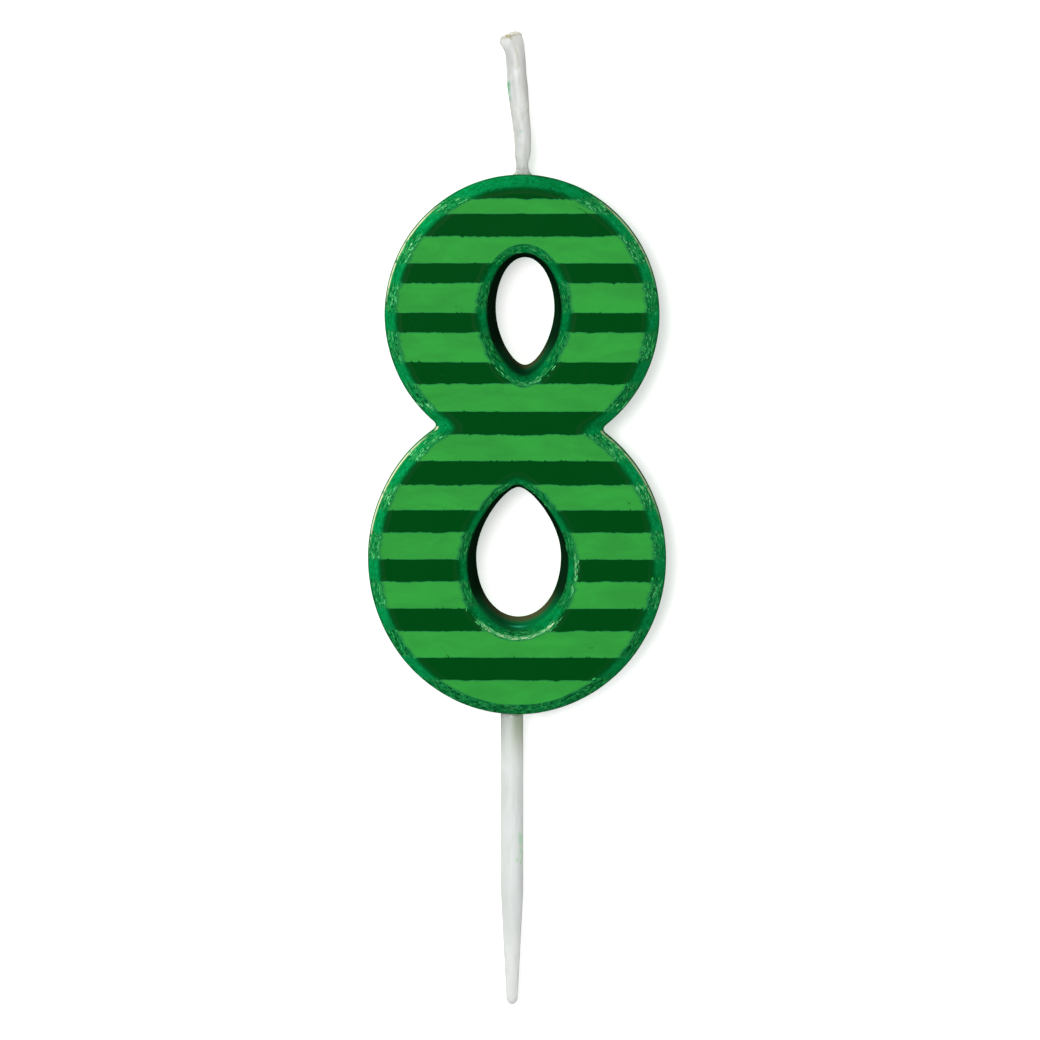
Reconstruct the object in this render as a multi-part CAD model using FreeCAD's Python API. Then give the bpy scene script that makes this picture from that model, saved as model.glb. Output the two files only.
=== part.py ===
"""Number birthday candle in the shape of an 8: a moulded wax numeral with stamped foil stripes,
a primed cotton wick on top and a round plastic cake pick that the numeral slides off.

Frame, in millimetres: +Z points up towards the wick, the striped front faces -Y and +X is to the
right of the front. The origin is on the pick's axis where the numeral's underside meets the icing.
"""

import FreeCAD, Part
import math
import os

# ---- driving dimensions -------------------------------------------------------------------------
THICKNESS = 10.5
FRONT = -THICKNESS / 2
BACK = THICKNESS / 2

# Outer outline: two upright ellipses, (centre x, centre z, half width, half height).
LOWER_LOBE = (0.65, 19.6, 18.65, 19.6)
UPPER_LOBE = (1.275, 50.1, 17.14, 17.44)

# Edge profile of the lobes, from front to back: (depth behind the front face, inset of the outline).
BEVEL_WIDTH = 1.6
BEVEL_DEPTH = 2.2
BACK_DRAFT = 0.42
BACK_ROUND = 0.5
EDGE_PROFILE = (
    (0.0, BEVEL_WIDTH),
    (BEVEL_DEPTH, 0.14),
    (BEVEL_DEPTH + 0.7, 0.0),
    (BEVEL_DEPTH + 1.3, 0.0),
    (THICKNESS - BACK_ROUND, BACK_DRAFT),
    (THICKNESS, BACK_DRAFT + BACK_ROUND),
)

# Holes at the back face: centre x, z of the widest level, half width, rise, drop, and how full the
# upper and lower halves are as (side handle, tip handle) of their Bezier quarters.
ROUND = 0.5523
UPPER_HOLE = (1.56, 50.5, 3.6, 6.3, 7.05, (ROUND, ROUND), (0.50, 0.42))
LOWER_HOLE = (0.75, 19.3, 5.26, 8.6, 7.6, (0.465, 0.30), (0.58, 0.58))
HOLE_DRAFT = 0.95
HOLE_BEVEL_DEPTH = 2.0
UPPER_HOLE_BEVEL = 1.3
LOWER_HOLE_BEVEL = 1.15
CUT_PAST = 1.0

# Foil stripes, numbered from the top: equal pitch between lower edges, each with its own height.
STRIPE_TOP_ROW = 62.75
STRIPE_PITCH = 6.14
STRIPE_HEIGHTS = (1.9, 3.4, 3.75, 3.75, 3.5, 3.3, 3.2, 3.4, 3.4, 3.35, 3.35)
FOIL = 0.1

# Cake pick: a parallel shank, a long taper, a blunt point and a spigot that plugs into the wax.
SHANK_RADIUS = 1.425
SHANK_LENGTH = 22.1
TAPER_END = 35.95
TAPER_END_RADIUS = 0.72
PICK_LENGTH = 36.9
SPIGOT_RADIUS = 1.05
SPIGOT_LENGTH = 8.5
SPIGOT_LEAD = 0.4
SOCKET_RADIUS = 1.1
SOCKET_DEPTH = 8.8

# Wick: upright in the wax and for a little way above it, then bent left on one large arc.
WICK_X = 1.34
WICK_FOOT = 60.5
WICK_BEND_START = 70.0
WICK_BEND_RADIUS = 70.0
BRAID_TOP = 85.0
BRAID_RADIUS = 0.62
COAT_TOP = 85.2
COAT_SECTIONS = (
    (68.05, 0.80),
    (68.8, 0.77),
    (70.7, 1.05),
    (73.7, 1.15),
    (79.7, 1.18),
    (82.7, 1.25),
    (COAT_TOP, 1.42),
)
COLLAR_FOOT = 66.8
COLLAR_TOP = COAT_SECTIONS[0][0]
COLLAR_FOOT_RADIUS = 1.25
COLLAR_TOP_RADIUS = COAT_SECTIONS[0][1]

Y_AXIS = FreeCAD.Vector(0, 1, 0)
Z_AXIS = FreeCAD.Vector(0, 0, 1)


def point(x, y, z):
    return FreeCAD.Vector(x, y, z)


# ---- outlines -----------------------------------------------------------------------------------
def ellipse_wire(lobe, inset, y):
    """The lobe's upright ellipse, moved in by inset, at depth y."""
    x, z, half_width, half_height = lobe
    centre = point(x, y, z)
    top = centre + Z_AXIS * (half_height - inset)
    side = centre + point(half_width - inset, 0, 0)
    return Part.Wire(Part.Ellipse(top, side, centre).toShape())


def quarter(centre, side, tip, fullness):
    """A Bezier quarter from the side point to the tip point, both given from the centre."""
    side_handle, tip_handle = fullness
    curve = Part.BezierCurve()
    curve.setPoles([centre + side, centre + side + tip * side_handle,
                    centre + tip + side * tip_handle, centre + tip])
    return curve.toShape()


def egg_wire(hole, growth, y):
    """A hole's egg-shaped outline, moved out by growth, at depth y."""
    x, z, half_width, rise, drop, top_fullness, bottom_fullness = hole
    centre = point(x, y, z)
    right = point(half_width + growth, 0, 0)
    top = Z_AXIS * (rise + growth)
    bottom = Z_AXIS * -(drop + growth)
    return Part.Wire([quarter(centre, right, top, top_fullness),
                      quarter(centre, -right, top, top_fullness),
                      quarter(centre, -right, bottom, bottom_fullness),
                      quarter(centre, right, bottom, bottom_fullness)])


# ---- wax numeral --------------------------------------------------------------------------------
def lobe_solid(lobe):
    wires = [ellipse_wire(lobe, inset, FRONT + depth) for depth, inset in EDGE_PROFILE]
    return Part.makeLoft(wires, True, True)


def hole_cutter(hole, bevel):
    """The tapered hole with its front bevel, run past both faces at the same slopes."""
    wall_front = FRONT + HOLE_BEVEL_DEPTH
    bevel_slope = bevel / HOLE_BEVEL_DEPTH
    wall_slope = HOLE_DRAFT / (BACK - wall_front)
    levels = (
        (FRONT - CUT_PAST, HOLE_DRAFT + bevel + CUT_PAST * bevel_slope),
        (wall_front, HOLE_DRAFT),
        (BACK + CUT_PAST, -CUT_PAST * wall_slope),
    )
    return Part.makeLoft([egg_wire(hole, growth, y) for y, growth in levels], True, True)


def wax_numeral(wick_core):
    body = lobe_solid(LOWER_LOBE).fuse(lobe_solid(UPPER_LOBE))
    body = body.cut(hole_cutter(UPPER_HOLE, UPPER_HOLE_BEVEL))
    body = body.cut(hole_cutter(LOWER_HOLE, LOWER_HOLE_BEVEL))
    socket = Part.makeCylinder(SOCKET_RADIUS, SOCKET_DEPTH + 1, point(0, 0, -1), Z_AXIS)
    return body.cut(socket).cut(wick_core)


# ---- foil stripes -------------------------------------------------------------------------------
def prism(wire):
    """A wire on the front face, raised forwards by the foil's thickness."""
    return Part.Face(wire).extrude(Y_AXIS * -FOIL)


def front_face_plate():
    """The flat part of the front face, inside the bevels, as a plate of foil."""
    plate = prism(ellipse_wire(LOWER_LOBE, BEVEL_WIDTH, FRONT))
    plate = plate.fuse(prism(ellipse_wire(UPPER_LOBE, BEVEL_WIDTH, FRONT)))
    for hole, bevel in ((UPPER_HOLE, UPPER_HOLE_BEVEL), (LOWER_HOLE, LOWER_HOLE_BEVEL)):
        plate = plate.cut(prism(egg_wire(hole, HOLE_DRAFT + bevel, FRONT)))
    return plate


def stripes():
    """Every stripe as {node: solid}; a hole splits a row into a left and a right stripe."""
    plate = front_face_plate()
    found = {}
    for row, height in enumerate(STRIPE_HEIGHTS):
        foot = STRIPE_TOP_ROW - row * STRIPE_PITCH
        band = Part.makeBox(60, 4, height, point(-30, FRONT - 2, foot))
        solids = sorted(plate.common(band).Solids, key=lambda solid: solid.CenterOfMass.x)
        sides = ("",) if len(solids) == 1 else ("_left", "_right")
        for side, solid in zip(sides, solids):
            found[f"foil_stripe_{row + 1:02d}{side}"] = solid
    return found


# ---- wick ---------------------------------------------------------------------------------------
def wick_centre(z):
    """The point of the wick's centreline at height z, and the line's direction there."""
    if z <= WICK_BEND_START:
        return point(WICK_X, 0, z), Z_AXIS
    turn = math.asin((z - WICK_BEND_START) / WICK_BEND_RADIUS)
    x = WICK_X - WICK_BEND_RADIUS * (1 - math.cos(turn))
    return point(x, 0, z), point(-math.sin(turn), 0, math.cos(turn))


def wick_core():
    foot, up = wick_centre(WICK_FOOT)
    bend, _ = wick_centre(WICK_BEND_START)
    middle, _ = wick_centre((WICK_BEND_START + BRAID_TOP) / 2)
    top, _ = wick_centre(BRAID_TOP)
    path = Part.Wire([Part.LineSegment(foot, bend).toShape(), Part.Arc(bend, middle, top).toShape()])
    return path.makePipeShell([Part.Wire(Part.makeCircle(BRAID_RADIUS, foot, up))], True, False)


def wick_coat(core):
    circles = []
    for z, radius in COAT_SECTIONS:
        centre, direction = wick_centre(z)
        circles.append(Part.Wire(Part.makeCircle(radius, centre, direction)))
    sleeve = Part.makeLoft(circles, True, False)
    return sleeve.cut(core)


def wick_collar(core, wax):
    """The small wax fillet between the numeral's top and the wick's coat."""
    cone = Part.makeCone(COLLAR_FOOT_RADIUS, COLLAR_TOP_RADIUS, COLLAR_TOP - COLLAR_FOOT,
                         point(WICK_X, 0, COLLAR_FOOT), Z_AXIS)
    return cone.cut(core).cut(wax)


# ---- cake pick ----------------------------------------------------------------------------------
def cake_pick():
    """The whole pick, turned from its half profile in the XZ plane."""
    corners = [point(0, 0, SPIGOT_LENGTH), point(SPIGOT_RADIUS - SPIGOT_LEAD, 0, SPIGOT_LENGTH),
               point(SPIGOT_RADIUS, 0, SPIGOT_LENGTH - SPIGOT_LEAD), point(SPIGOT_RADIUS, 0, 0),
               point(SHANK_RADIUS, 0, 0), point(SHANK_RADIUS, 0, -SHANK_LENGTH),
               point(TAPER_END_RADIUS, 0, -TAPER_END)]
    edges = [Part.makeLine(a, b) for a, b in zip(corners, corners[1:])]
    tip = point(0, 0, -PICK_LENGTH)
    cap_height = PICK_LENGTH - TAPER_END
    cap_radius = (TAPER_END_RADIUS ** 2 + cap_height ** 2) / (2 * cap_height)
    half_turn = math.radians(45)
    bulge = tip + point(cap_radius * math.sin(half_turn), 0, cap_radius * (1 - math.cos(half_turn)))
    edges.append(Part.Arc(corners[-1], bulge, tip).toShape())
    edges.append(Part.makeLine(tip, corners[0]))
    return Part.Face(Part.Wire(edges)).revolve(point(0, 0, 0), Z_AXIS, 360)


# ---- the whole candle ---------------------------------------------------------------------------
def build():
    core = wick_core()
    wax = wax_numeral(core)
    nodes = {
        "wax_numeral": wax,
        "wick_braid": core,
        "wick_wax_coat": wick_coat(core),
        "wick_collar": wick_collar(core, wax),
        "cake_pick": cake_pick(),
    }
    nodes.update(stripes())
    return nodes


os.makedirs("parts", exist_ok=True)
for name, shape in build().items():
    if len(shape.Solids) == 1:
        shape = shape.Solids[0]
    print(f"{name}: {len(shape.Solids)} solid, valid {shape.isValid()}, {shape.Volume:.2f} mm3")
    shape.exportStep(f"parts/{name}.step")
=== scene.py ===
"""Looks of a number birthday candle, the numeral 8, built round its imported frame.

Lengths are metres in the frame's axes: +Z points up to the wick, the striped front faces -Y and the
origin is on the cake pick's axis at the numeral's underside.
"""
import logging
import math
from dataclasses import dataclass, field
from enum import Enum
from typing import Callable, Iterable, NamedTuple, Optional, Sequence

import bmesh
import bpy
import numpy as np
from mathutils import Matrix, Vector
from mathutils.geometry import delaunay_2d_cdt


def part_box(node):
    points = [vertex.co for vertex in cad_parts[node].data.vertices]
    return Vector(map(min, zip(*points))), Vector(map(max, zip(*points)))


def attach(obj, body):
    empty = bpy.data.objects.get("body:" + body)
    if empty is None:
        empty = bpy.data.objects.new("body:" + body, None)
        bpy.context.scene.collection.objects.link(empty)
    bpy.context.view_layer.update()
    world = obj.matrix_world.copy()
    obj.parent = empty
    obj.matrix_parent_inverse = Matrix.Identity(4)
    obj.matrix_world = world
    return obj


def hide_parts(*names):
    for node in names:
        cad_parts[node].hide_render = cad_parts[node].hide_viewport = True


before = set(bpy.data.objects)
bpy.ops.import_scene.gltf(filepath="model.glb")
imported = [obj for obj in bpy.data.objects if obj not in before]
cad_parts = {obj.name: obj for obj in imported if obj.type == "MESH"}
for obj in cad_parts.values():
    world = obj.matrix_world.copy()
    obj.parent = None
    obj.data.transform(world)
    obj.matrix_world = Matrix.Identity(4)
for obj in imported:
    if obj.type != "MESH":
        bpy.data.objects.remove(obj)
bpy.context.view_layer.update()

Array, Node, Piece = np.ndarray, bpy.types.Node, bpy.types.Object
Socket, Tree = bpy.types.NodeSocket, bpy.types.NodeTree
LOG = logging.getLogger("number_candle")
MM = 0.001
CURVE_ROUND = 0.5523
PICK_BODY = "pick"
NUMERAL_BODY = "numeral"


# ==== small tools ====
def srgb(red: int, green: int, blue: int) -> tuple[float, float, float, float]:
    """Turn a colour given as 0 to 255 display values into a linear colour.

    Args:
        red: Red, 0 to 255.
        green: Green, 0 to 255.
        blue: Blue, 0 to 255.

    Returns:
        The linear colour with an alpha of 1.
    """
    linear = [
        value / 12.92 if value <= 0.04045 else ((value + 0.055) / 1.055) ** 2.4
        for value in (red / 255, green / 255, blue / 255)
    ]
    return (linear[0], linear[1], linear[2], 1.0)


def smooth_step(low: float, high: float, value: Array | float) -> Array | float:
    """Return values mapped smoothly to 0 at low and below, and to 1 at high and above."""
    share = np.clip((value - low) / (high - low), 0.0, 1.0)
    return share * share * (3.0 - 2.0 * share)


def within(value: Array | float, start: float, full: float, fall: float,
           end: float) -> Array | float:
    """Return values rising smoothly to 1 from start to full and falling to 0 from fall to end."""
    return smooth_step(start, full, value) * (1 - smooth_step(fall, end, value))


class Ripple:
    """A smooth random wave along one line, the same on every run."""

    KNOTS = 257

    def __init__(self, seed: int, spacing: float, height: float) -> None:
        """Draw the wave's knots from a seed: how far apart they are, and the wave's largest value."""
        self.spacing = spacing
        self.knots = np.random.default_rng(seed).uniform(-height, height, self.KNOTS)

    def at(self, place: Array | float) -> Array | float:
        """Read the wave at some places.

        Args:
            place: Distances along the line.

        Returns:
            The wave's value at each place.
        """
        step = np.asarray(place) / self.spacing + self.KNOTS * 8
        left = np.floor(step).astype(int)
        share = step - left
        share = share * share * (3.0 - 2.0 * share)
        return self.knots[left % self.KNOTS] * (1 - share) + self.knots[(left + 1) % self.KNOTS] * share


class Teeth:
    """Sparse narrow nicks along an edge, the same on every run."""

    def __init__(self, seed: int, pitch: float, width: float, height: float) -> None:
        """Set the nicks' sizes.

        Args:
            seed: Seed of the random draw.
            pitch: Average distance between two nicks.
            width: Half width of a nick.
            height: Largest height of a nick.
        """
        draw = np.random.default_rng(seed)
        count = int(0.08 / pitch)
        self.centres = draw.uniform(-0.04, 0.04, count)
        self.widths = draw.uniform(0.5, 1.3, count) * width
        self.heights = draw.uniform(0.15, 1.0, count) ** 1.6 * height

    def at(self, place: Array) -> Array:
        """Return the height of the nicks at some places along the edge, never negative."""
        gap = np.abs(np.asarray(place)[..., None] - self.centres) / self.widths
        return (np.clip(1.0 - gap, 0.0, 1.0) * self.heights).max(axis=-1)


def at_depth(outline: Array, depth: float) -> Array:
    """Return an outline's points, given as rows of x and z, at one depth along Y."""
    return np.stack([outline[:, 0], np.full(len(outline), depth), outline[:, 1]], axis=-1)


@dataclass
class MeshDraft:
    """Vertices, faces and per-vertex values gathered before they become one object."""

    points: list[Array] = field(default_factory=list)
    faces: list[tuple[int, ...]] = field(default_factory=list)
    values: dict[str, list[Array]] = field(default_factory=dict)
    count: int = 0

    def add_ring(self, points: Array, **values: Array | float) -> int:
        """Add a row of vertices.

        Args:
            points: The vertices, one row of x, y and z each.
            values: A number, or one number per vertex, for each named value.

        Returns:
            The index of the row's first vertex.
        """
        start = self.count
        self.points.append(points)
        self.count += len(points)
        for name, value in values.items():
            row = np.broadcast_to(np.asarray(value, dtype=float), (len(points),))
            self.values.setdefault(name, []).append(row)
        return start

    def bridge(self, first: int, second: int, count: int, closed: bool = True) -> None:
        """Join two rows of the same length with quads.

        Args:
            first: First vertex of one row.
            second: First vertex of the other row.
            count: Number of vertices in each row.
            closed: Whether the rows are rings.
        """
        for index in range(count if closed else count - 1):
            after = (index + 1) % count
            self.faces.append((first + index, first + after, second + after, second + index))

    def loft(self, starts: Sequence[int], count: int, closed: bool = True) -> None:
        """Join a series of rows, each to the next; count and closed are as for bridge."""
        for first, second in zip(starts, starts[1:]):
            self.bridge(first, second, count, closed)

    def close(self, start: int, count: int, centre: Array, **values: float) -> None:
        """Close a ring with a fan of triangles to its centre.

        Args:
            start: First vertex of the ring.
            count: Number of vertices in the ring.
            centre: The centre point.
            values: The centre's named values.
        """
        middle = self.add_ring(np.asarray([centre]), **values)
        for index in range(count):
            self.faces.append((start + index, start + (index + 1) % count, middle))

    def build(self, name: str, material: bpy.types.Material, smooth: bool = True) -> Piece:
        """Make the object, with its faces turned outwards.

        Args:
            name: The object's name.
            material: Its material.
            smooth: Whether it is smooth shaded.

        Returns:
            The new object.
        """
        mesh = bpy.data.meshes.new(name)
        mesh.from_pydata(np.concatenate(self.points).tolist(), [], self.faces)
        for label, rows in self.values.items():
            layer = mesh.attributes.new(label, "FLOAT", "POINT")
            layer.data.foreach_set("value", np.concatenate(rows).astype(np.float32))
        turn_outwards(mesh)
        mesh.polygons.foreach_set("use_smooth", [smooth] * len(mesh.polygons))
        mesh.materials.append(material)
        return put(name, mesh)


def put(name: str, data: bpy.types.ID) -> Piece:
    """Return a new object with some data, linked to the scene."""
    made = bpy.data.objects.new(name, data)
    bpy.context.scene.collection.objects.link(made)
    return made


def turn_outwards(mesh: bpy.types.Mesh) -> None:
    """Turn every face of a closed mesh outwards.

    Args:
        mesh: The mesh to change.
    """
    sheet = bmesh.new()
    sheet.from_mesh(mesh)
    bmesh.ops.recalc_face_normals(sheet, faces=sheet.faces)
    sheet.to_mesh(mesh)
    sheet.free()


def settle(piece: Piece) -> Piece:
    """Turn a piece's modifiers into plain mesh and remove them.

    Args:
        piece: The object with modifiers.

    Returns:
        The same object with the finished mesh.
    """
    graph = bpy.context.evaluated_depsgraph_get()
    finished = bpy.data.meshes.new_from_object(piece.evaluated_get(graph), depsgraph=graph)
    old = piece.data
    piece.modifiers.clear()
    if piece.type == "MESH":
        piece.data = finished
        return piece
    name = piece.name
    replacement = put(name, finished)
    bpy.data.objects.remove(piece)
    bpy.data.curves.remove(old)
    replacement.name = name
    return replacement


def rounded_profile(corners: Sequence[tuple[float, float]], cuts: Sequence[float],
                    step: float, turns: int = 6) -> Array:
    """Round the inner corners of a profile and divide its straight runs.

    Args:
        corners: The profile's corners as (depth, offset).
        cuts: How far along both runs each inner corner's round reaches.
        step: Longest straight step.
        turns: Number of steps round each corner.

    Returns:
        The profile's points, one row each.
    """
    points = np.asarray(corners, dtype=float)
    path = [points[0]]
    for index in range(1, len(points) - 1):
        before, here, after = points[index - 1], points[index], points[index + 1]
        start = here + (before - here) / np.linalg.norm(before - here) * cuts[index - 1]
        end = here + (after - here) / np.linalg.norm(after - here) * cuts[index - 1]
        for share in np.linspace(0.0, 1.0, turns + 1):
            path.append(start * (1 - share) ** 2 + here * 2 * share * (1 - share) + end * share ** 2)
    path.append(points[-1])
    divided = [path[0]]
    for before, after in zip(path, path[1:]):
        pieces = max(1, int(math.ceil(np.linalg.norm(after - before) / step)))
        divided += [before + (after - before) * share / pieces for share in range(1, pieces + 1)]
    return np.asarray(divided)


# ==== shader nodes ====
class Sheet:
    """A node tree with short ways to add and join nodes."""

    def __init__(self, tree: Tree) -> None:
        """Take the shader or geometry tree to fill."""
        self.tree = tree

    def add(self, kind: str, inputs: Optional[dict] = None, **settings: object) -> Node:
        """Add a node.

        Args:
            kind: The node's type name.
            inputs: Socket name or index to a value or an output socket.
            settings: The node's own properties.

        Returns:
            The new node.
        """
        made = self.tree.nodes.new(kind)
        for name, value in settings.items():
            setattr(made, name, value)
        for name, value in (inputs or {}).items():
            self.feed(made.inputs[name], value)
        return made

    def feed(self, socket: Socket, value: object) -> None:
        """Give a socket a value, or join an output socket to it.

        Args:
            socket: The input socket.
            value: An output socket or a plain value.
        """
        if isinstance(value, Socket):
            self.tree.links.new(value, socket)
        else:
            socket.default_value = value

    def maths(self, operation: str, first: object, second: object = 0.0,
              third: object = 0.0, clamp: bool = False) -> Socket:
        """Add a maths node.

        Args:
            operation: The operation's name.
            first: First value or socket.
            second: Second value or socket.
            third: Third value or socket.
            clamp: Whether the result is kept between 0 and 1.

        Returns:
            The result's socket.
        """
        made = self.add("ShaderNodeMath", {0: first, 1: second, 2: third}, operation=operation)
        made.use_clamp = clamp
        return made.outputs[0]

    def times(self, first: object, second: object, more: object = 0.0,
              clamp: bool = False) -> Socket:
        """Return the socket of the product of two values, with more added to it."""
        return self.maths("MULTIPLY_ADD", first, second, more, clamp)

    def ramp(self, value: object, low: float, high: float,
             start: float = 0.0, end: float = 1.0) -> Socket:
        """Return the socket of a value mapped smoothly from low and high to start and end."""
        made = self.add("ShaderNodeMapRange", {0: value, 1: low, 2: high, 3: start, 4: end},
                        interpolation_type="SMOOTHSTEP")
        return made.outputs[0]

    def blend(self, share: object, first: object, second: object) -> Socket:
        """Mix two colours.

        Args:
            share: How much of the second colour shows.
            first: First colour or socket.
            second: Second colour or socket.

        Returns:
            The mixed colour's socket.
        """
        made = self.add("ShaderNodeMix", data_type="RGBA")
        for socket, value in ((0, share), (6, first), (7, second)):
            self.feed(made.inputs[socket], value)
        return made.outputs[2]

    def layers(self, base: object, *coats: tuple[object, object]) -> Socket:
        """Return the socket of a base colour under some coats, each a share and a colour."""
        for share, colour in coats:
            base = self.blend(share, base, colour)
        return base

    def noise(self, vector: object, scale: float, detail: float = 3.0,
              roughness: float = 0.55, distortion: float = 0.0) -> Socket:
        """Return the socket of a noise texture's value, read at a vector."""
        made = self.add("ShaderNodeTexNoise", {"Vector": vector, "Scale": scale, "Detail": detail,
                                               "Roughness": roughness, "Distortion": distortion})
        return made.outputs[0]

    def stretched(self, vector: object, scale: tuple[float, float, float],
                  turn: tuple[float, float, float] = (0.0, 0.0, 0.0)) -> Socket:
        """Return the socket of texture coordinates scaled along and turned about each axis."""
        made = self.add("ShaderNodeMapping", {"Vector": vector, "Scale": scale, "Rotation": turn})
        return made.outputs[0]

    def value_of(self, name: str) -> Socket:
        """Return the socket of one of the piece's own per-vertex values."""
        return self.add("ShaderNodeAttribute", attribute_name=name).outputs["Fac"]


def new_group(name: str, inputs: dict[str, float],
              outputs: Iterable[str]) -> tuple[Tree, Sheet, dict, dict]:
    """Make an empty shader group that takes a vector and numbers and gives numbers.

    Args:
        name: The group's name.
        inputs: The default of each number taken, by name.
        outputs: The name of each number given.

    Returns:
        The tree, its sheet, the inputs' sockets by name and the outputs' sockets by name.
    """
    tree = bpy.data.node_groups.new(name, "ShaderNodeTree")
    tree.interface.new_socket(name="Vector", in_out="INPUT", socket_type="NodeSocketVector")
    for label, default in inputs.items():
        socket = tree.interface.new_socket(name=label, in_out="INPUT", socket_type="NodeSocketFloat")
        socket.default_value = default
    for label in outputs:
        tree.interface.new_socket(name=label, in_out="OUTPUT", socket_type="NodeSocketFloat")
    sheet = Sheet(tree)
    entry = sheet.add("NodeGroupInput")
    leave = sheet.add("NodeGroupOutput")
    return (tree, sheet, {socket.name: socket for socket in entry.outputs},
            {socket.name: socket for socket in leave.inputs})


def bare_material(name: str) -> tuple[bpy.types.Material, Sheet]:
    """Make a material without nodes.

    Args:
        name: The material's name.

    Returns:
        The material and the sheet of its tree.
    """
    material = bpy.data.materials.new(name)
    material.use_nodes = True
    material.node_tree.nodes.clear()
    return material, Sheet(material.node_tree)


class SharedEffects:
    """The effects that more than one finish uses, each built once as a shader group."""

    def __init__(self) -> None:
        """Build every group."""
        self.wax_cloud = self._wax_cloud()
        self.handling = self._handling()
        self.green_smear = self._green_smear()

    @staticmethod
    def _wax_cloud() -> Tree:
        """Build soft milky clouding with a fine surface grain."""
        tree, sheet, entry, leave = new_group(
            "wax_cloud", {"Cloud Scale": 300.0, "Grain Scale": 2500.0, "Contrast": 1.0},
            ("Cloud", "Height"))
        broad = sheet.noise(entry["Vector"], entry["Cloud Scale"], 4.0, 0.6, 0.4)
        fine = sheet.noise(entry["Vector"], entry["Grain Scale"], 3.0, 0.6)
        centred = sheet.times(sheet.maths("SUBTRACT", broad, 0.5), entry["Contrast"], 0.5)
        sheet.feed(leave["Cloud"], sheet.maths("ADD", centred, 0.0, clamp=True))
        sheet.feed(leave["Height"], sheet.times(fine, 0.35, broad))
        return tree

    @staticmethod
    def _handling() -> Tree:
        """Build fine scuffs and specks from handling."""
        tree, sheet, entry, leave = new_group(
            "handling_marks", {"Scuff Scale": 900.0, "Speck Scale": 1400.0, "Amount": 0.5},
            ("Scuff", "Speck"))
        slanted = sheet.stretched(entry["Vector"], (1.0, 1.0, 0.12), (0.0, 0.9, 0.0))
        scratch = sheet.noise(slanted, entry["Scuff Scale"], 5.0, 0.75, 0.6)
        scuff = sheet.ramp(scratch, 0.56, 0.72)
        cells = sheet.add("ShaderNodeTexVoronoi", {
            "Vector": entry["Vector"], "Scale": entry["Speck Scale"]}, feature="F1")
        speck = sheet.ramp(cells.outputs["Distance"], 0.02, 0.16, 1.0, 0.0)
        rare = sheet.ramp(sheet.noise(entry["Vector"], 420.0), 0.56, 0.64)
        sheet.feed(leave["Scuff"], sheet.times(scuff, entry["Amount"], clamp=True))
        sheet.feed(leave["Speck"], sheet.times(sheet.times(speck, rare), entry["Amount"], clamp=True))
        return tree

    @staticmethod
    def _green_smear() -> Tree:
        """Build faint traces of green wax rubbed on a white piece, where its smear value says."""
        tree, sheet, entry, leave = new_group(
            "green_smear", {"Smear": 0.0, "Breakup Scale": 1600.0}, ("Mask",))
        drawn_out = sheet.stretched(entry["Vector"], (1.0, 1.0, 0.45))
        broken = sheet.noise(drawn_out, entry["Breakup Scale"], 4.0, 0.7)
        mask = sheet.times(sheet.ramp(broken, 0.38, 0.62), entry["Smear"], clamp=True)
        sheet.feed(leave["Mask"], mask)
        return tree


class Work(NamedTuple):
    """A material being built: its sheet, Principled shader and object coordinates, and the effects."""

    sheet: Sheet
    shader: Node
    place: Socket
    effects: SharedEffects


@dataclass(frozen=True)
class Finish:
    """What every finish has in common: its name, and the way from it to a material."""

    name: str

    def build(self, effects: SharedEffects) -> bpy.types.Material:
        """Build the material: its shader, dressed by the finish.

        Args:
            effects: The shared groups.

        Returns:
            The material.
        """
        material, sheet = bare_material(self.name)
        shader = sheet.add("ShaderNodeBsdfPrincipled")
        leave = sheet.add("ShaderNodeOutputMaterial")
        sheet.feed(leave.inputs["Surface"], shader.outputs[0])
        self.dress(Work(sheet, shader, sheet.add("ShaderNodeTexCoord").outputs["Object"], effects))
        return material

    def dress(self, work: Work) -> None:
        """Join the finish's own nodes to the shader.

        Args:
            work: The material being built.
        """
        raise NotImplementedError

    @staticmethod
    def use(sheet: Sheet, group: Tree, **inputs: object) -> Node:
        """Place a shared effect.

        Args:
            sheet: The material's sheet.
            group: The effect.
            inputs: Socket names, with underscores for spaces, and their values.

        Returns:
            The group's node.
        """
        named = {label.replace("_", " "): value for label, value in inputs.items()}
        made = sheet.add("ShaderNodeGroup")
        made.node_tree = group
        for label, value in named.items():
            sheet.feed(made.inputs[label], value)
        return made

    @staticmethod
    def set(node: Node, **values: object) -> None:
        """Set sockets of a node by name, with underscores for spaces."""
        for label, value in values.items():
            node.inputs[label.replace("_", " ")].default_value = value

    @staticmethod
    def relief(sheet: Sheet, shader: Node, height: object, strength: float,
               depth: float) -> None:
        """Bump a shader's normal by a height, whose real size is the depth in metres."""
        bump = sheet.add("ShaderNodeBump", {"Height": height, "Strength": strength, "Distance": depth})
        sheet.feed(shader.inputs["Normal"], bump.outputs[0])


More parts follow.
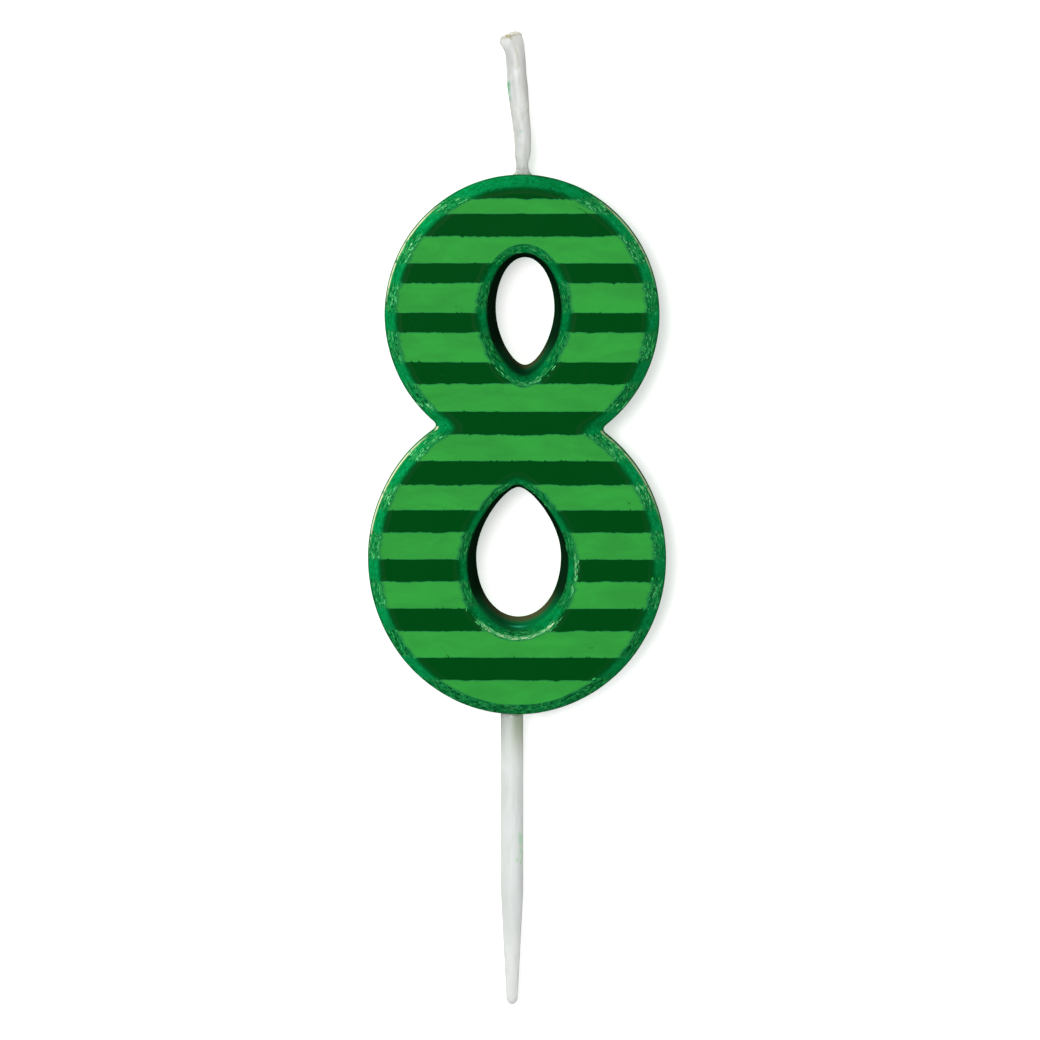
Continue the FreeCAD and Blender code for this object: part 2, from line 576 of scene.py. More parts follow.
@dataclass(frozen=True)
class GreenWaxFinish(Finish):
    """Glossy emerald wax: dark on the flat face; brighter on bevels, partly its own crinkled foil and partly
    painted light; nearly black in the holes as painted shade, with painted reflection and light at their
    foot and a painted highlight along the upper rims.
    """

    name: str = "emerald_wax"
    face: tuple = srgb(1, 72, 19)
    # Painted light: the bevel colours are brighter than the face to stand in for the light that the sloping
    # bevels catch.
    bevel_dark: tuple = srgb(0, 120, 52)
    bevel_light: tuple = srgb(0, 178, 92)
    # bevel_deep is painted shade in the foil's crinkles, and glint is painted highlight on its torn streaks.
    bevel_deep: tuple = srgb(0, 74, 26)
    glint: tuple = srgb(112, 226, 140)
    bevel_teal: tuple = srgb(12, 172, 112)
    side: tuple = srgb(0, 80, 36)
    side_light: tuple = srgb(0, 136, 66)
    # The hole wall colours are painted light and shade: the near-black is painted shade, the green below it
    # is painted light on the holes' lit foot, the warm brown is a painted reflection and gleam is a painted
    # teal gleam.
    wall: tuple = srgb(6, 40, 18)
    wall_green: tuple = srgb(0, 106, 58)
    wall_painted_reflection: tuple = srgb(80, 76, 50)
    gleam: tuple = srgb(60, 214, 170)
    # rim is a painted highlight line along the upper outer arcs.
    rim: tuple = srgb(255, 253, 214)
    gloss: float = 0.11
    teal_share: float = 0.7
    glint_share: float = 0.62
    deep_share: float = 0.8

    def dress(self, work: Work) -> None:
        """Join the finish's own nodes to the shader, as the base class says."""
        sheet, shader, place, effects = work
        cloud = self.use(sheet, effects.wax_cloud, Vector=place, Cloud_Scale=260.0,
                         Grain_Scale=2600.0, Contrast=1.3)
        marks = self.use(sheet, effects.handling, Vector=place, Scuff_Scale=700.0,
                         Speck_Scale=1500.0, Amount=0.5)
        bevel, row, wall, side, depth, lit, gleam, rim, turn = (sheet.value_of(name) for name in (
            "bevel", "foil_row", "hole_wall", "side", "wall_depth", "wall_lit", "gleam", "rim", "turn"))
        edge = sheet.add("ShaderNodeUVMap", uv_map="edge").outputs[0]
        streaks = sheet.noise(sheet.stretched(edge, (650.0, 4200.0, 1.0)), 1.0, 5.0, 0.7, 0.8)
        crinkle = sheet.noise(sheet.stretched(edge, (1700.0, 2600.0, 1.0)), 1.0, 4.0, 0.75, 1.2)

        patchy = sheet.times(sheet.ramp(crinkle, 0.5, 0.62), sheet.maths("SUBTRACT", 1.0, row))
        # The torn foil streaks in the light rows carry painted glints, and the crinkle darkening is painted
        # shade.
        torn = sheet.times(sheet.ramp(streaks, 0.5, 0.64), row)
        shaded = sheet.times(sheet.ramp(crinkle, 0.52, 0.4), sheet.times(row, 0.45, 0.55))
        # The bevel colour: brighter than the face as painted light, with the foil's own teal patches.
        emerald = sheet.layers(
            self.bevel_dark, (cloud.outputs["Cloud"], self.bevel_light),
            (sheet.times(patchy, self.teal_share), self.bevel_teal),
            (sheet.times(torn, self.glint_share), self.glint),
            (sheet.times(shaded, self.deep_share), self.bevel_deep))
        # Hole walls: near-black as painted shade, green as painted light at the lit foot, and a painted warm
        # reflection deep in the lit foot.
        painted_reflection_share = sheet.times(sheet.ramp(cloud.outputs["Cloud"], 0.1, 0.5, 0.7, 1.0), lit)
        deep = sheet.blend(depth, sheet.blend(lit, self.wall, self.wall_green),
                           sheet.blend(painted_reflection_share, self.wall, self.wall_painted_reflection))
        sheet.feed(shader.inputs["Base Color"], sheet.layers(
            self.face, (sheet.times(cloud.outputs["Cloud"], 0.16), self.side),
            (side, sheet.blend(cloud.outputs["Cloud"], self.side, self.side_light)),
            # The wall colours are painted shade, light and reflection, and the gleam is a painted gleam.
            (bevel, emerald), (wall, deep), (gleam, self.gleam),
            # A painted highlight line along the upper outer arcs.
            (sheet.times(rim, sheet.ramp(streaks, 0.25, 0.5)), self.rim),
            (sheet.times(marks.outputs["Speck"], 0.1), self.glint)))

        rough = sheet.times(marks.outputs["Scuff"], 0.12, self.gloss)
        rough = sheet.times(turn, 0.38, rough)
        rough = sheet.times(sheet.times(bevel, crinkle), 0.16, rough)
        sheet.feed(shader.inputs["Roughness"], sheet.times(wall, 0.3, rough, clamp=True))
        self.set(shader, IOR=1.43, Specular_IOR_Level=0.03)
        ruffle = sheet.times(sheet.times(streaks, row), bevel)
        height = sheet.times(cloud.outputs["Height"], 0.25, ruffle)
        self.relief(sheet, shader, height, 0.55, 0.00012)


@dataclass(frozen=True)
class StripeFoilFinish(Finish):
    """Satin light green stamping foil with a deep green halo along its torn edges."""

    name: str = "light_green_foil"
    light: tuple = srgb(47, 165, 60)
    shade: tuple = srgb(40, 150, 53)
    halo: tuple = srgb(0, 112, 66)
    rub: tuple = srgb(72, 186, 80)

    def dress(self, work: Work) -> None:
        """Join the finish's own nodes to the shader, as the base class says."""
        sheet, shader, place, effects = work
        marks = self.use(sheet, effects.handling, Vector=place, Scuff_Scale=500.0,
                         Speck_Scale=1100.0, Amount=0.6)
        mottled = sheet.noise(sheet.stretched(place, (1.0, 1.0, 2.4)), 150.0, 5.0, 0.62, 0.5)
        brushed = sheet.noise(sheet.stretched(place, (1.0, 1.0, 2.5)), 900.0, 4.0, 0.7)
        edge = sheet.value_of("torn_edge")
        colour = sheet.layers(
            self.shade, (sheet.ramp(mottled, 0.3, 0.7), self.light),
            (sheet.ramp(brushed, 0.45, 0.75, 0.0, 0.1), self.rub),
            (sheet.times(marks.outputs["Scuff"], 0.3), self.shade))
        ragged = sheet.times(edge, sheet.ramp(
            sheet.noise(place, 2600.0, 3.0, 0.7), 0.3, 0.62, 0.55, 1.0), clamp=True)
        sheet.feed(shader.inputs["Base Color"], sheet.blend(ragged, colour, self.halo))
        rough = sheet.times(mottled, 0.16, 0.5)
        sheet.feed(shader.inputs["Roughness"], sheet.maths("SUBTRACT", rough, sheet.times(
            marks.outputs["Scuff"], 0.1)))
        self.set(shader, Specular_IOR_Level=0.12)
        height = sheet.times(brushed, 0.3, mottled)
        self.relief(sheet, shader, height, 0.25, 0.00008)


@dataclass(frozen=True)
class FoilFleckFinish(Finish):
    """Broken scraps of the foil on the bevels, from deep green through mint to nearly white; the palest are
    partly painted highlight and the darkest partly painted shade.
    """

    name: str = "broken_foil"
    deep: tuple = srgb(0, 82, 38)
    dark: tuple = srgb(6, 134, 70)
    middle: tuple = srgb(52, 182, 92)
    mint: tuple = srgb(112, 222, 142)
    # The nearly white shows mostly on scraps painted pale as highlight.
    pale: tuple = srgb(234, 255, 216)

    def dress(self, work: Work) -> None:
        """Join the finish's own nodes to the shader, as the base class says."""
        sheet, shader, place, effects = work
        marks = self.use(sheet, effects.handling, Vector=place, Scuff_Scale=1500.0,
                         Speck_Scale=2200.0, Amount=0.8)
        # The tone carries each scrap's painted paleness: painted highlight toward nearly white, painted
        # shade toward deep green.
        tone = sheet.times(sheet.noise(place, 2400.0, 3.0, 0.6), 0.35,
                           sheet.maths("SUBTRACT", sheet.value_of("tone"), 0.17))
        sheet.feed(shader.inputs["Base Color"], sheet.layers(
            self.deep, (sheet.ramp(tone, 0.0, 0.2), self.dark),
            (sheet.ramp(tone, 0.2, 0.55), self.middle), (sheet.ramp(tone, 0.55, 0.85), self.mint),
            (sheet.ramp(tone, 0.92, 1.15), self.pale)))
        sheet.feed(shader.inputs["Roughness"],
                   sheet.times(marks.outputs["Scuff"], 0.3, 0.42))
        self.set(shader, Specular_IOR_Level=0.06)
        self.relief(sheet, shader, sheet.noise(place, 5200.0, 2.0), 0.35, 0.00004)


@dataclass(frozen=True)
class WickCottonFinish(Finish):
    """Braided cotton yellowed by wax, with fine fibres along each strand."""

    name: str = "wick_cotton"
    cream: tuple = srgb(226, 220, 192)
    olive: tuple = srgb(168, 164, 112)
    tan: tuple = srgb(206, 178, 134)

    def dress(self, work: Work) -> None:
        """Join the finish's own nodes to the shader, as the base class says."""
        sheet, shader, place, effects = work
        cloud = self.use(sheet, effects.wax_cloud, Vector=place, Cloud_Scale=1400.0,
                         Grain_Scale=9000.0, Contrast=1.6)
        fibre = sheet.noise(sheet.stretched(place, (9.0, 9.0, 1.0), (0.0, 0.35, 0.0)), 1500.0, 4.0, 0.7)
        colour = sheet.blend(sheet.ramp(fibre, 0.35, 0.65), self.olive, self.cream)
        colour = sheet.blend(sheet.ramp(cloud.outputs["Cloud"], 0.62, 0.8, 0.0, 0.7), colour, self.tan)
        sheet.feed(shader.inputs["Base Color"], colour)
        sheet.feed(shader.inputs["Roughness"], sheet.times(fibre, 0.3, 0.5))
        self.relief(sheet, shader, fibre, 0.6, 0.00006)


@dataclass(frozen=True)
class WickWaxFinish(Finish):
    """Milky priming wax over the wick, with a few traces of green."""

    name: str = "priming_wax"
    milky: tuple = srgb(230, 231, 230)
    grey: tuple = srgb(214, 215, 213)
    olive: tuple = srgb(196, 194, 150)
    green: tuple = srgb(118, 196, 148)

    def dress(self, work: Work) -> None:
        """Join the finish's own nodes to the shader, as the base class says."""
        sheet, shader, place, effects = work
        cloud = self.use(sheet, effects.wax_cloud, Vector=sheet.stretched(place, (1.6, 1.6, 0.6)),
                         Cloud_Scale=620.0, Grain_Scale=4200.0, Contrast=1.5)
        smear = self.use(sheet, effects.green_smear, Vector=place, Smear=sheet.value_of("smear"),
                         Breakup_Scale=1100.0)
        strand = sheet.noise(sheet.stretched(place, (7.0, 7.0, 1.0)), 900.0, 3.0, 0.6)
        creased = sheet.times(sheet.value_of("crease"), sheet.ramp(strand, 0.45, 0.58, 0.1, 1.0))
        sheet.feed(shader.inputs["Base Color"], sheet.layers(
            self.grey, (sheet.ramp(cloud.outputs["Cloud"], 0.3, 0.75), self.milky),
            (creased, self.olive), (smear.outputs["Mask"], self.green)))
        sheet.feed(shader.inputs["Roughness"],
                   sheet.times(cloud.outputs["Cloud"], 0.2, 0.3))
        self.set(shader, Subsurface_Weight=0.7, Subsurface_Radius=(1.0, 1.0, 0.9),
                 Subsurface_Scale=0.0014)
        height = sheet.times(strand, 0.5, cloud.outputs["Height"])
        self.relief(sheet, shader, height, 0.25, 0.00008)


@dataclass(frozen=True)
class PickPlasticFinish(Finish):
    """White translucent moulded plastic with flow lines and faint green smears, and painted contact shade
    under the numeral.
    """

    name: str = "white_pick_plastic"
    white: tuple = srgb(226, 230, 230)
    flow: tuple = srgb(213, 217, 216)
    green: tuple = srgb(150, 214, 160)
    # Painted contact shade, greyed and greened by the wax, for the top of the shank.
    stained: tuple = srgb(164, 172, 152)

    def dress(self, work: Work) -> None:
        """Join the finish's own nodes to the shader, as the base class says."""
        sheet, shader, place, effects = work
        cloud = self.use(sheet, effects.wax_cloud, Vector=sheet.stretched(place, (1.0, 1.0, 0.25)),
                         Cloud_Scale=420.0, Grain_Scale=3200.0, Contrast=1.2)
        marks = self.use(sheet, effects.handling, Vector=place, Scuff_Scale=800.0,
                         Speck_Scale=1300.0, Amount=0.5)
        smear = self.use(sheet, effects.green_smear, Vector=place, Smear=sheet.value_of("smear"),
                         Breakup_Scale=1300.0)
        # Painted contact shade under the numeral, darker towards the right.
        stain = sheet.times(sheet.value_of("stain"), sheet.ramp(
            cloud.outputs["Cloud"], 0.2, 0.8, 0.65, 0.95))
        sheet.feed(shader.inputs["Base Color"], sheet.layers(
            self.flow, (sheet.ramp(cloud.outputs["Cloud"], 0.25, 0.75), self.white),
            (stain, self.stained), (smear.outputs["Mask"], self.green)))
        sheet.feed(shader.inputs["Roughness"],
                   sheet.times(marks.outputs["Scuff"], 0.25, 0.27))
        self.set(shader, Subsurface_Weight=0.8, Subsurface_Radius=(1.0, 1.0, 0.95),
                 Subsurface_Scale=0.0045)
        height = sheet.times(marks.outputs["Scuff"], 0.4, cloud.outputs["Height"])
        self.relief(sheet, shader, height, 0.2, 0.00006)


class Finishes:
    """All the candle's materials, built once."""

    def __init__(self) -> None:
        """Build the shared effects and every material."""
        effects = SharedEffects()
        self.green_wax = GreenWaxFinish().build(effects)
        self.foil = StripeFoilFinish().build(effects)
        self.flecks = FoilFleckFinish().build(effects)
        self.cotton = WickCottonFinish().build(effects)
        self.wick_wax = WickWaxFinish().build(effects)
        self.pick = PickPlasticFinish().build(effects)


# ==== outlines of the numeral ====
class Side(Enum):
    """Which side of a line is meant, as a sign along X."""

    LEFT = -1
    RIGHT = 1


@dataclass(frozen=True)
class Lobe:
    """An upright ellipse in the XZ plane."""

    x: float
    z: float
    half_width: float
    half_height: float

    def shrunk(self, inset: float) -> "Lobe":
        """Return the ellipse moved in by inset."""
        return Lobe(self.x, self.z, self.half_width - inset, self.half_height - inset)

    def point(self, turn: Array) -> Array:
        """Return the points at turns counted clockwise from the top, one row of x and z each."""
        return np.stack([self.x + self.half_width * np.sin(turn),
                         self.z + self.half_height * np.cos(turn)], axis=-1)

    def level(self, points: Array) -> Array:
        """Return roughly how far outside the ellipse each point is."""
        across = (points[..., 0] - self.x) / self.half_width
        up = (points[..., 1] - self.z) / self.half_height
        return (np.hypot(across, up) - 1.0) * (self.half_width + self.half_height) / 2

    def half_span(self, z: float) -> float:
        """Return the half width at a height, or a negative number above and below the ellipse."""
        rest = 1.0 - ((z - self.z) / self.half_height) ** 2
        return self.half_width * math.sqrt(rest) if rest > 0 else -1.0


@dataclass(frozen=True)
class EggHole:
    """A hole through the numeral: an egg outline that widens to the front, with a front bevel."""

    x: float
    z: float
    half_width: float
    rise: float
    drop: float
    bevel: float
    top_fullness: tuple[float, float] = (CURVE_ROUND, CURVE_ROUND)
    bottom_fullness: tuple[float, float] = (CURVE_ROUND, CURVE_ROUND)

    def ring(self, growth: float, quarter_points: int) -> Array:
        """Sample the outline moved out by growth.

        Args:
            growth: How far the outline is moved out.
            quarter_points: Points in each quarter.

        Returns:
            The outline's points, one row of x and z each, clockwise from the bottom.
        """
        share = np.linspace(0.0, 1.0, quarter_points, endpoint=False)
        across = self.half_width + growth
        quarters = []
        for side, up, fullness, outwards in (
                (-1, -(self.drop + growth), self.bottom_fullness, True),
                (-1, self.rise + growth, self.top_fullness, False),
                (1, self.rise + growth, self.top_fullness, True),
                (1, -(self.drop + growth), self.bottom_fullness, False)):
            path = share if outwards else 1.0 - share
            path = 1.0 - path
            quarters.append(self._quarter(across * side, up, fullness, path))
        return np.concatenate(quarters)

    def _quarter(self, across: float, up: float, fullness: tuple[float, float],
                 share: Array) -> Array:
        """Return a Bezier quarter from its side point at share 0 to its tip at share 1."""
        side, tip = np.array([across, 0.0]), np.array([0.0, up])
        poles = (side, side + tip * fullness[0], tip + side * fullness[1], tip)
        rest = 1.0 - share
        weights = (rest ** 3, 3 * rest ** 2 * share, 3 * rest * share ** 2, share ** 3)
        return np.array([self.x, self.z]) + sum(w[:, None] * p for w, p in zip(weights, poles))

    def half_span(self, z: float, growth: float) -> float:
        """Return the half width at a height, or a negative number above and below the hole.

        Args:
            z: The height.
            growth: How far the outline is moved out.

        Returns:
            The half width.
        """
        outline = self.ring(growth, 96)
        right = outline[outline[:, 0] >= self.x]
        right = right[np.argsort(right[:, 1])]
        return float(np.interp(z, right[:, 1], right[:, 0] - self.x, left=-1.0, right=-1.0))


@dataclass
class NumeralShape:
    """The outline of the 8 and its holes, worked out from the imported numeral's box."""

    bevel_width: float = 1.6 * MM
    bevel_depth: float = 2.2 * MM
    hole_bevel_depth: float = 2.0 * MM
    hole_draft: float = 0.95 * MM
    back_draft: float = 0.42 * MM
    back_round: float = 0.5 * MM
    notch_blend: float = 0.9 * MM
    notch_spread: float = 0.72

    def __post_init__(self) -> None:
        """Read the box and set the lobes and holes."""
        low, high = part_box("wax_numeral")
        self.front, self.back = low[1], high[1]
        self.bottom = low[2]
        middle, half = (low[0] + high[0]) / 2, (high[0] - low[0]) / 2
        self.lower = Lobe(middle, low[2] + half * 1.051, half, half * 1.051)
        self.upper = Lobe(middle + 0.625 * MM, high[2] - half * 0.935, half * 0.919, half * 0.935)
        self.upper_hole = EggHole(middle + 0.91 * MM, self.upper.z + 0.4 * MM, 3.6 * MM, 6.3 * MM,
                                  7.05 * MM, 1.3 * MM, bottom_fullness=(0.50, 0.42))
        self.lower_hole = EggHole(middle + 0.1 * MM, self.lower.z - 0.3 * MM, 5.26 * MM, 8.6 * MM,
                                  7.6 * MM, 1.15 * MM, (0.465, 0.30), (0.58, 0.58))

    @property
    def holes(self) -> tuple[EggHole, EggHole]:
        """Return both holes, the upper first."""
        return self.upper_hole, self.lower_hole

    def ring(self, inset: float, upper_points: int = 300, lower_points: int = 330) -> Array:
        """Sample the outer outline moved in by inset, clockwise from the left notch.

        Args:
            inset: How far the outline is moved in.
            upper_points: Points round the upper lobe.
            lower_points: Points round the lower lobe.

        Returns:
            The outline's points, one row of x and z each.
        """
        lower, upper = self.lower.shrunk(inset), self.upper.shrunk(inset)
        turn = math.pi
        up_right = self._crossing(upper, lower, turn / 2, turn)
        up_left = self._crossing(upper, lower, -turn / 2, -turn)
        low_right = self._crossing(lower, upper, turn / 2, 0.0)
        low_left = self._crossing(lower, upper, 3 * turn / 2, 2 * turn)
        points = np.concatenate([
            upper.point(self._spread(up_left, up_right, upper_points)),
            lower.point(self._spread(low_right, low_left, lower_points))])
        softened = self._soften_notch(points, lower, upper, self.notch_blend + self.notch_spread * inset)
        return self._in_order(softened, upper_points, 56)

    @staticmethod
    def _in_order(points: Array, upper_points: int, window: int) -> Array:
        """Put the points by both notches in order of height and space them evenly.

        Args:
            points: The outline, clockwise from the left notch.
            upper_points: Number of points before the right notch.
            window: Number of points on each side of a notch to look at.

        Returns:
            The outline in order.
        """
        for start, sign in ((upper_points - window, -1), (0, 1)):
            rolled = np.roll(points, window - start if sign < 0 else window, axis=0)
            near = slice(window, 3 * window) if sign < 0 else slice(0, 2 * window)
            path = rolled[near][np.argsort(sign * rolled[near][:, 1])]
            length = np.concatenate([[0.0], np.cumsum(np.linalg.norm(np.diff(path, axis=0), axis=1))])
            even = np.linspace(0.0, length[-1], 2 * window)
            rolled[near] = np.stack([np.interp(even, length, path[:, axis]) for axis in (0, 1)], axis=-1)
            points = np.roll(rolled, start - window if sign < 0 else -window, axis=0)
        return points

    @staticmethod
    def _spread(start: float, end: float, count: int) -> Array:
        """Return turns from start up to end, closer together near both."""
        share = np.linspace(0.0, 1.0, count, endpoint=False)
        share = share - 0.82 * np.sin(2 * math.pi * share) / (2 * math.pi)
        return start + (end - start) * share

    @staticmethod
    def _crossing(lobe: Lobe, other: Lobe, outside: float, inside: float) -> float:
        """Find the turn where a lobe's outline goes into the other lobe.

        Args:
            lobe: The lobe whose outline is followed.
            other: The lobe it goes into.
            outside: A turn outside the other lobe.
            inside: A turn inside it.

        Returns:
            The turn of the crossing.
        """
        for _ in range(50):
            middle = (outside + inside) / 2
            if other.level(lobe.point(np.array(middle))) > 0:
                outside = middle
            else:
                inside = middle
        return (outside + inside) / 2

    @staticmethod
    def _soften_notch(points: Array, lower: Lobe, upper: Lobe, reach: float) -> Array:
        """Fill the notches between the lobes with a small round.

        Args:
            points: The sharp outline.
            lower: The lower ellipse at this inset.
            upper: The upper ellipse at this inset.
            reach: How far the round reaches.

        Returns:
            The softened outline.
        """
        def level(where: Array) -> Array:
            first, second = lower.level(where), upper.level(where)
            share = np.maximum(reach - np.abs(first - second), 0.0) / reach
            return np.minimum(first, second) - share * share * reach / 4

        nudge = 1e-6
        for _ in range(8):
            here = level(points)
            slope = np.stack([(level(points + [nudge, 0]) - here) / nudge,
                              (level(points + [0, nudge]) - here) / nudge], axis=-1)
            points = points - (here / np.maximum((slope ** 2).sum(-1), 0.2))[:, None] * slope
        return points

    def outer_profile(self) -> Array:
        """Return the edge profile of the lobes as rows of depth behind the front and inset."""
        thickness = self.back - self.front
        flat = 1.0 * MM
        foot = 0.14 * MM
        return rounded_profile(
            ((0.0, self.bevel_width + flat), (0.0, self.bevel_width), (self.bevel_depth, foot),
             (self.bevel_depth + 0.9 * MM, 0.0), (thickness - self.back_round, self.back_draft),
             (thickness, self.back_draft + self.back_round),
             (thickness, self.back_draft + self.back_round + flat)),
            (0.28 * MM, 0.42 * MM, 0.4 * MM, 0.24 * MM, 0.24 * MM), 0.3 * MM)

    def hole_profile(self, hole: EggHole) -> Array:
        """Return the hole's edge profile as rows of depth behind the front and growth."""
        thickness = self.back - self.front
        flat = 0.8 * MM
        lip = 0.25 * MM
        open_front = self.hole_draft + hole.bevel
        return rounded_profile(
            ((0.0, open_front + flat), (0.0, open_front), (self.hole_bevel_depth, self.hole_draft),
             (thickness - lip, 0.02 * MM), (thickness, lip), (thickness, lip + flat)),
            (0.3 * MM, 0.5 * MM, 0.15 * MM, 0.12 * MM), 0.3 * MM)

    def face_limits(self, z: float, inset: float) -> tuple[float, float]:
        """Return the left and right end of the flat face at a height.

        Args:
            z: The height.
            inset: How far inside the outline the face ends.

        Returns:
            The left and the right end.
        """
        spans = [(lobe.x, lobe.shrunk(inset).half_span(z)) for lobe in (self.lower, self.upper)]
        reached = [(x, span) for x, span in spans if span > 0]
        return (min((x - span for x, span in reached), default=1.0),
                max((x + span for x, span in reached), default=-1.0))


# ==== foil stripes ====
@dataclass(frozen=True)
class StripeRow:
    """One light green row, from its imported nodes' heights."""

    node: str
    number: int
    foot: float
    head: float
    side: Optional[Side]

    @classmethod
    def from_node(cls, node: str) -> "StripeRow":
        """Read a stripe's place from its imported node's name and box."""
        low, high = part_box(node)
        parts = node.split("_")
        side = Side[parts[3].upper()] if len(parts) > 3 else None
        return cls(node, int(parts[2]), low[2], high[2], side)


@dataclass
class FoilStripes:
    """The sixteen stamped stripes on the flat face, each a thin torn-edged piece."""

    shape: NumeralShape
    finishes: Finishes
    lift: float = 0.045 * MM
    sink: float = 0.02 * MM
    column: float = 0.12 * MM
    halo: float = 0.17 * MM
    end_halo: float = 0.5 * MM
    hem: float = 0.06 * MM
    least_span: float = 0.12 * MM
    least_height: float = 0.02 * MM
    smooth_below: float = 3 * MM
    end_reads: tuple[float, float] = (0.01, 0.03)
    rows: tuple[float, ...] = (
        0.0, 0.02, 0.045, 0.09, 0.13, 0.18, 0.23, 0.28, 0.33, 0.38, 0.43, 0.48,
        0.53, 0.58, 0.63, 0.68, 0.73, 0.78, 0.83, 0.88, 0.92, 0.95, 0.975, 1.0)

    def build(self) -> list[Piece]:
        """Build every stripe.

        Returns:
            The stripes' objects.
        """
        nodes = sorted(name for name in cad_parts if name.startswith("foil_stripe"))
        self.stripes = [StripeRow.from_node(name) for name in nodes]
        return [self._stripe(row) for row in self.stripes]

    def row_spans(self) -> list[tuple[int, float, float]]:
        """Return each row's number, foot and head; the lowest row runs on down the bottom bevel."""
        rows = sorted({(row.number, row.foot, row.head) for row in self.stripes
                       if row.side != Side.RIGHT})
        number, foot, head = rows[-1]
        rows[-1] = (number, foot - 4 * MM, head)
        return rows

    def _stripe(self, row: StripeRow) -> Piece:
        """Build one stripe as a closed thin slab with torn edges.

        Args:
            row: The stripe's place.

        Returns:
            The stripe's object.
        """
        seed = row.number * 10 + (0 if row.side is None else row.side.value + 2)
        low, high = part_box(row.node)
        count = int((high[0] - low[0]) / self.column) + 2
        columns = np.linspace(0.0, 1.0, count)
        broad, fine = Ripple(seed, 1.9 * MM, 0.075 * MM), Ripple(seed + 500, 0.42 * MM, 0.05 * MM)
        straight = Ripple(seed + 900, 1.1 * MM, 0.03 * MM)
        chips = Teeth(seed, 1.5 * MM, 0.09 * MM, 0.26 * MM)
        bites = Teeth(seed + 70, 3.4 * MM, 0.3 * MM, 0.16 * MM)
        ends, tears = Ripple(seed + 1300, 0.5 * MM, 0.16 * MM), Ripple(seed + 1700, 0.16 * MM, 0.09 * MM)
        left, right = self._ends(row, (row.foot + row.head) / 2)
        level = left + (right - left) * columns
        nicks = chips.at(level) if row.foot > self.shape.bottom + self.smooth_below else 0.0
        low_edge = row.foot + straight.at(level) + nicks
        high_edge = row.head + broad.at(level) + fine.at(level) - bites.at(level)
        draft = MeshDraft()
        fronts, backs = [], []
        for share in self.rows:
            z = row.foot + (row.head - row.foot) * share
            left, right = (
                end + ends.at(z + read) + tears.at(z + read)
                for end, read in zip(self._ends(row, z), self.end_reads))
            x = left + (right - left) * columns
            foot, head = self._round_holes(row, x, low_edge, high_edge)
            outline = np.stack([x, foot + (head - foot) * share], axis=-1)
            edge_distance = np.minimum((head - foot) * share * 1.6, (head - foot) * (1 - share))
            torn = 1.0 - smooth_step(0.0, self.halo, edge_distance)
            # Towards both ends the foil turns to the deeper green of its halo.
            end_fade = 1.0 - smooth_step(0.0, self.end_halo, np.minimum(x - left, right - x))
            torn = np.maximum(torn, 0.85 * end_fade)
            front = self.shape.front
            fronts.append(draft.add_ring(at_depth(outline, front - self.lift), torn_edge=torn))
            backs.append(draft.add_ring(at_depth(outline, front + self.sink), torn_edge=torn))
        draft.loft(fronts, count, closed=False)
        draft.loft(backs, count, closed=False)
        draft.bridge(backs[0], fronts[0], count, closed=False)
        draft.bridge(fronts[-1], backs[-1], count, closed=False)
        for column in (0, count - 1):
            for index in range(len(self.rows) - 1):
                draft.faces.append((fronts[index] + column, fronts[index + 1] + column,
                                    backs[index + 1] + column, backs[index] + column))
        label = row.node.replace("foil_stripe", "torn_foil_stripe")
        piece = draft.build(label, self.finishes.foil, smooth=False)
        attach(piece, NUMERAL_BODY)
        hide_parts(row.node)
        LOG.info("%s: %d faces", label, len(piece.data.polygons))
        return piece

    def _ends(self, row: StripeRow, z: float) -> tuple[float, float]:
        """Return where the stripe ends at a height, on the bevels or at a hole.

        Args:
            row: The stripe's place.
            z: The height.

        Returns:
            The left and the right end.
        """
        left, right = self.shape.face_limits(z, self.shape.bevel_width - self.hem)
        if row.side is not None:
            hole = min(self.shape.holes, key=lambda h: abs(h.z - z))
            growth = self.shape.hole_draft + hole.bevel - self.hem
            span = max(hole.half_span(z, growth), self.least_span)
            if row.side is Side.LEFT:
                right = hole.x - span
            else:
                left = hole.x + span
        return left, right

    def _round_holes(self, row: StripeRow, x: Array, foot: Array,
                     head: Array) -> tuple[Array, Array]:
        """Keep an unsplit stripe's edges off a hole that reaches into it.

        Args:
            row: The stripe's place.
            x: The columns' places.
            foot: The lower edge.
            head: The upper edge.

        Returns:
            The lower and upper edges, moved off the holes.
        """
        if row.side is not None:
            return foot, head
        for hole in self.shape.holes:
            outline = hole.ring(self.shape.hole_draft + hole.bevel - self.hem, 96)
            above = outline[outline[:, 1] >= hole.z]
            below = outline[outline[:, 1] < hole.z]
            above, below = above[np.argsort(above[:, 0])], below[np.argsort(below[:, 0])]
            over = np.interp(x, above[:, 0], above[:, 1], left=hole.z, right=hole.z)
            under = np.interp(x, below[:, 0], below[:, 1], left=hole.z, right=hole.z)
            if hole.z < row.foot:
                foot = np.maximum(foot, over)
            else:
                head = np.minimum(head, under)
        return foot, np.maximum(head, foot + self.least_height)


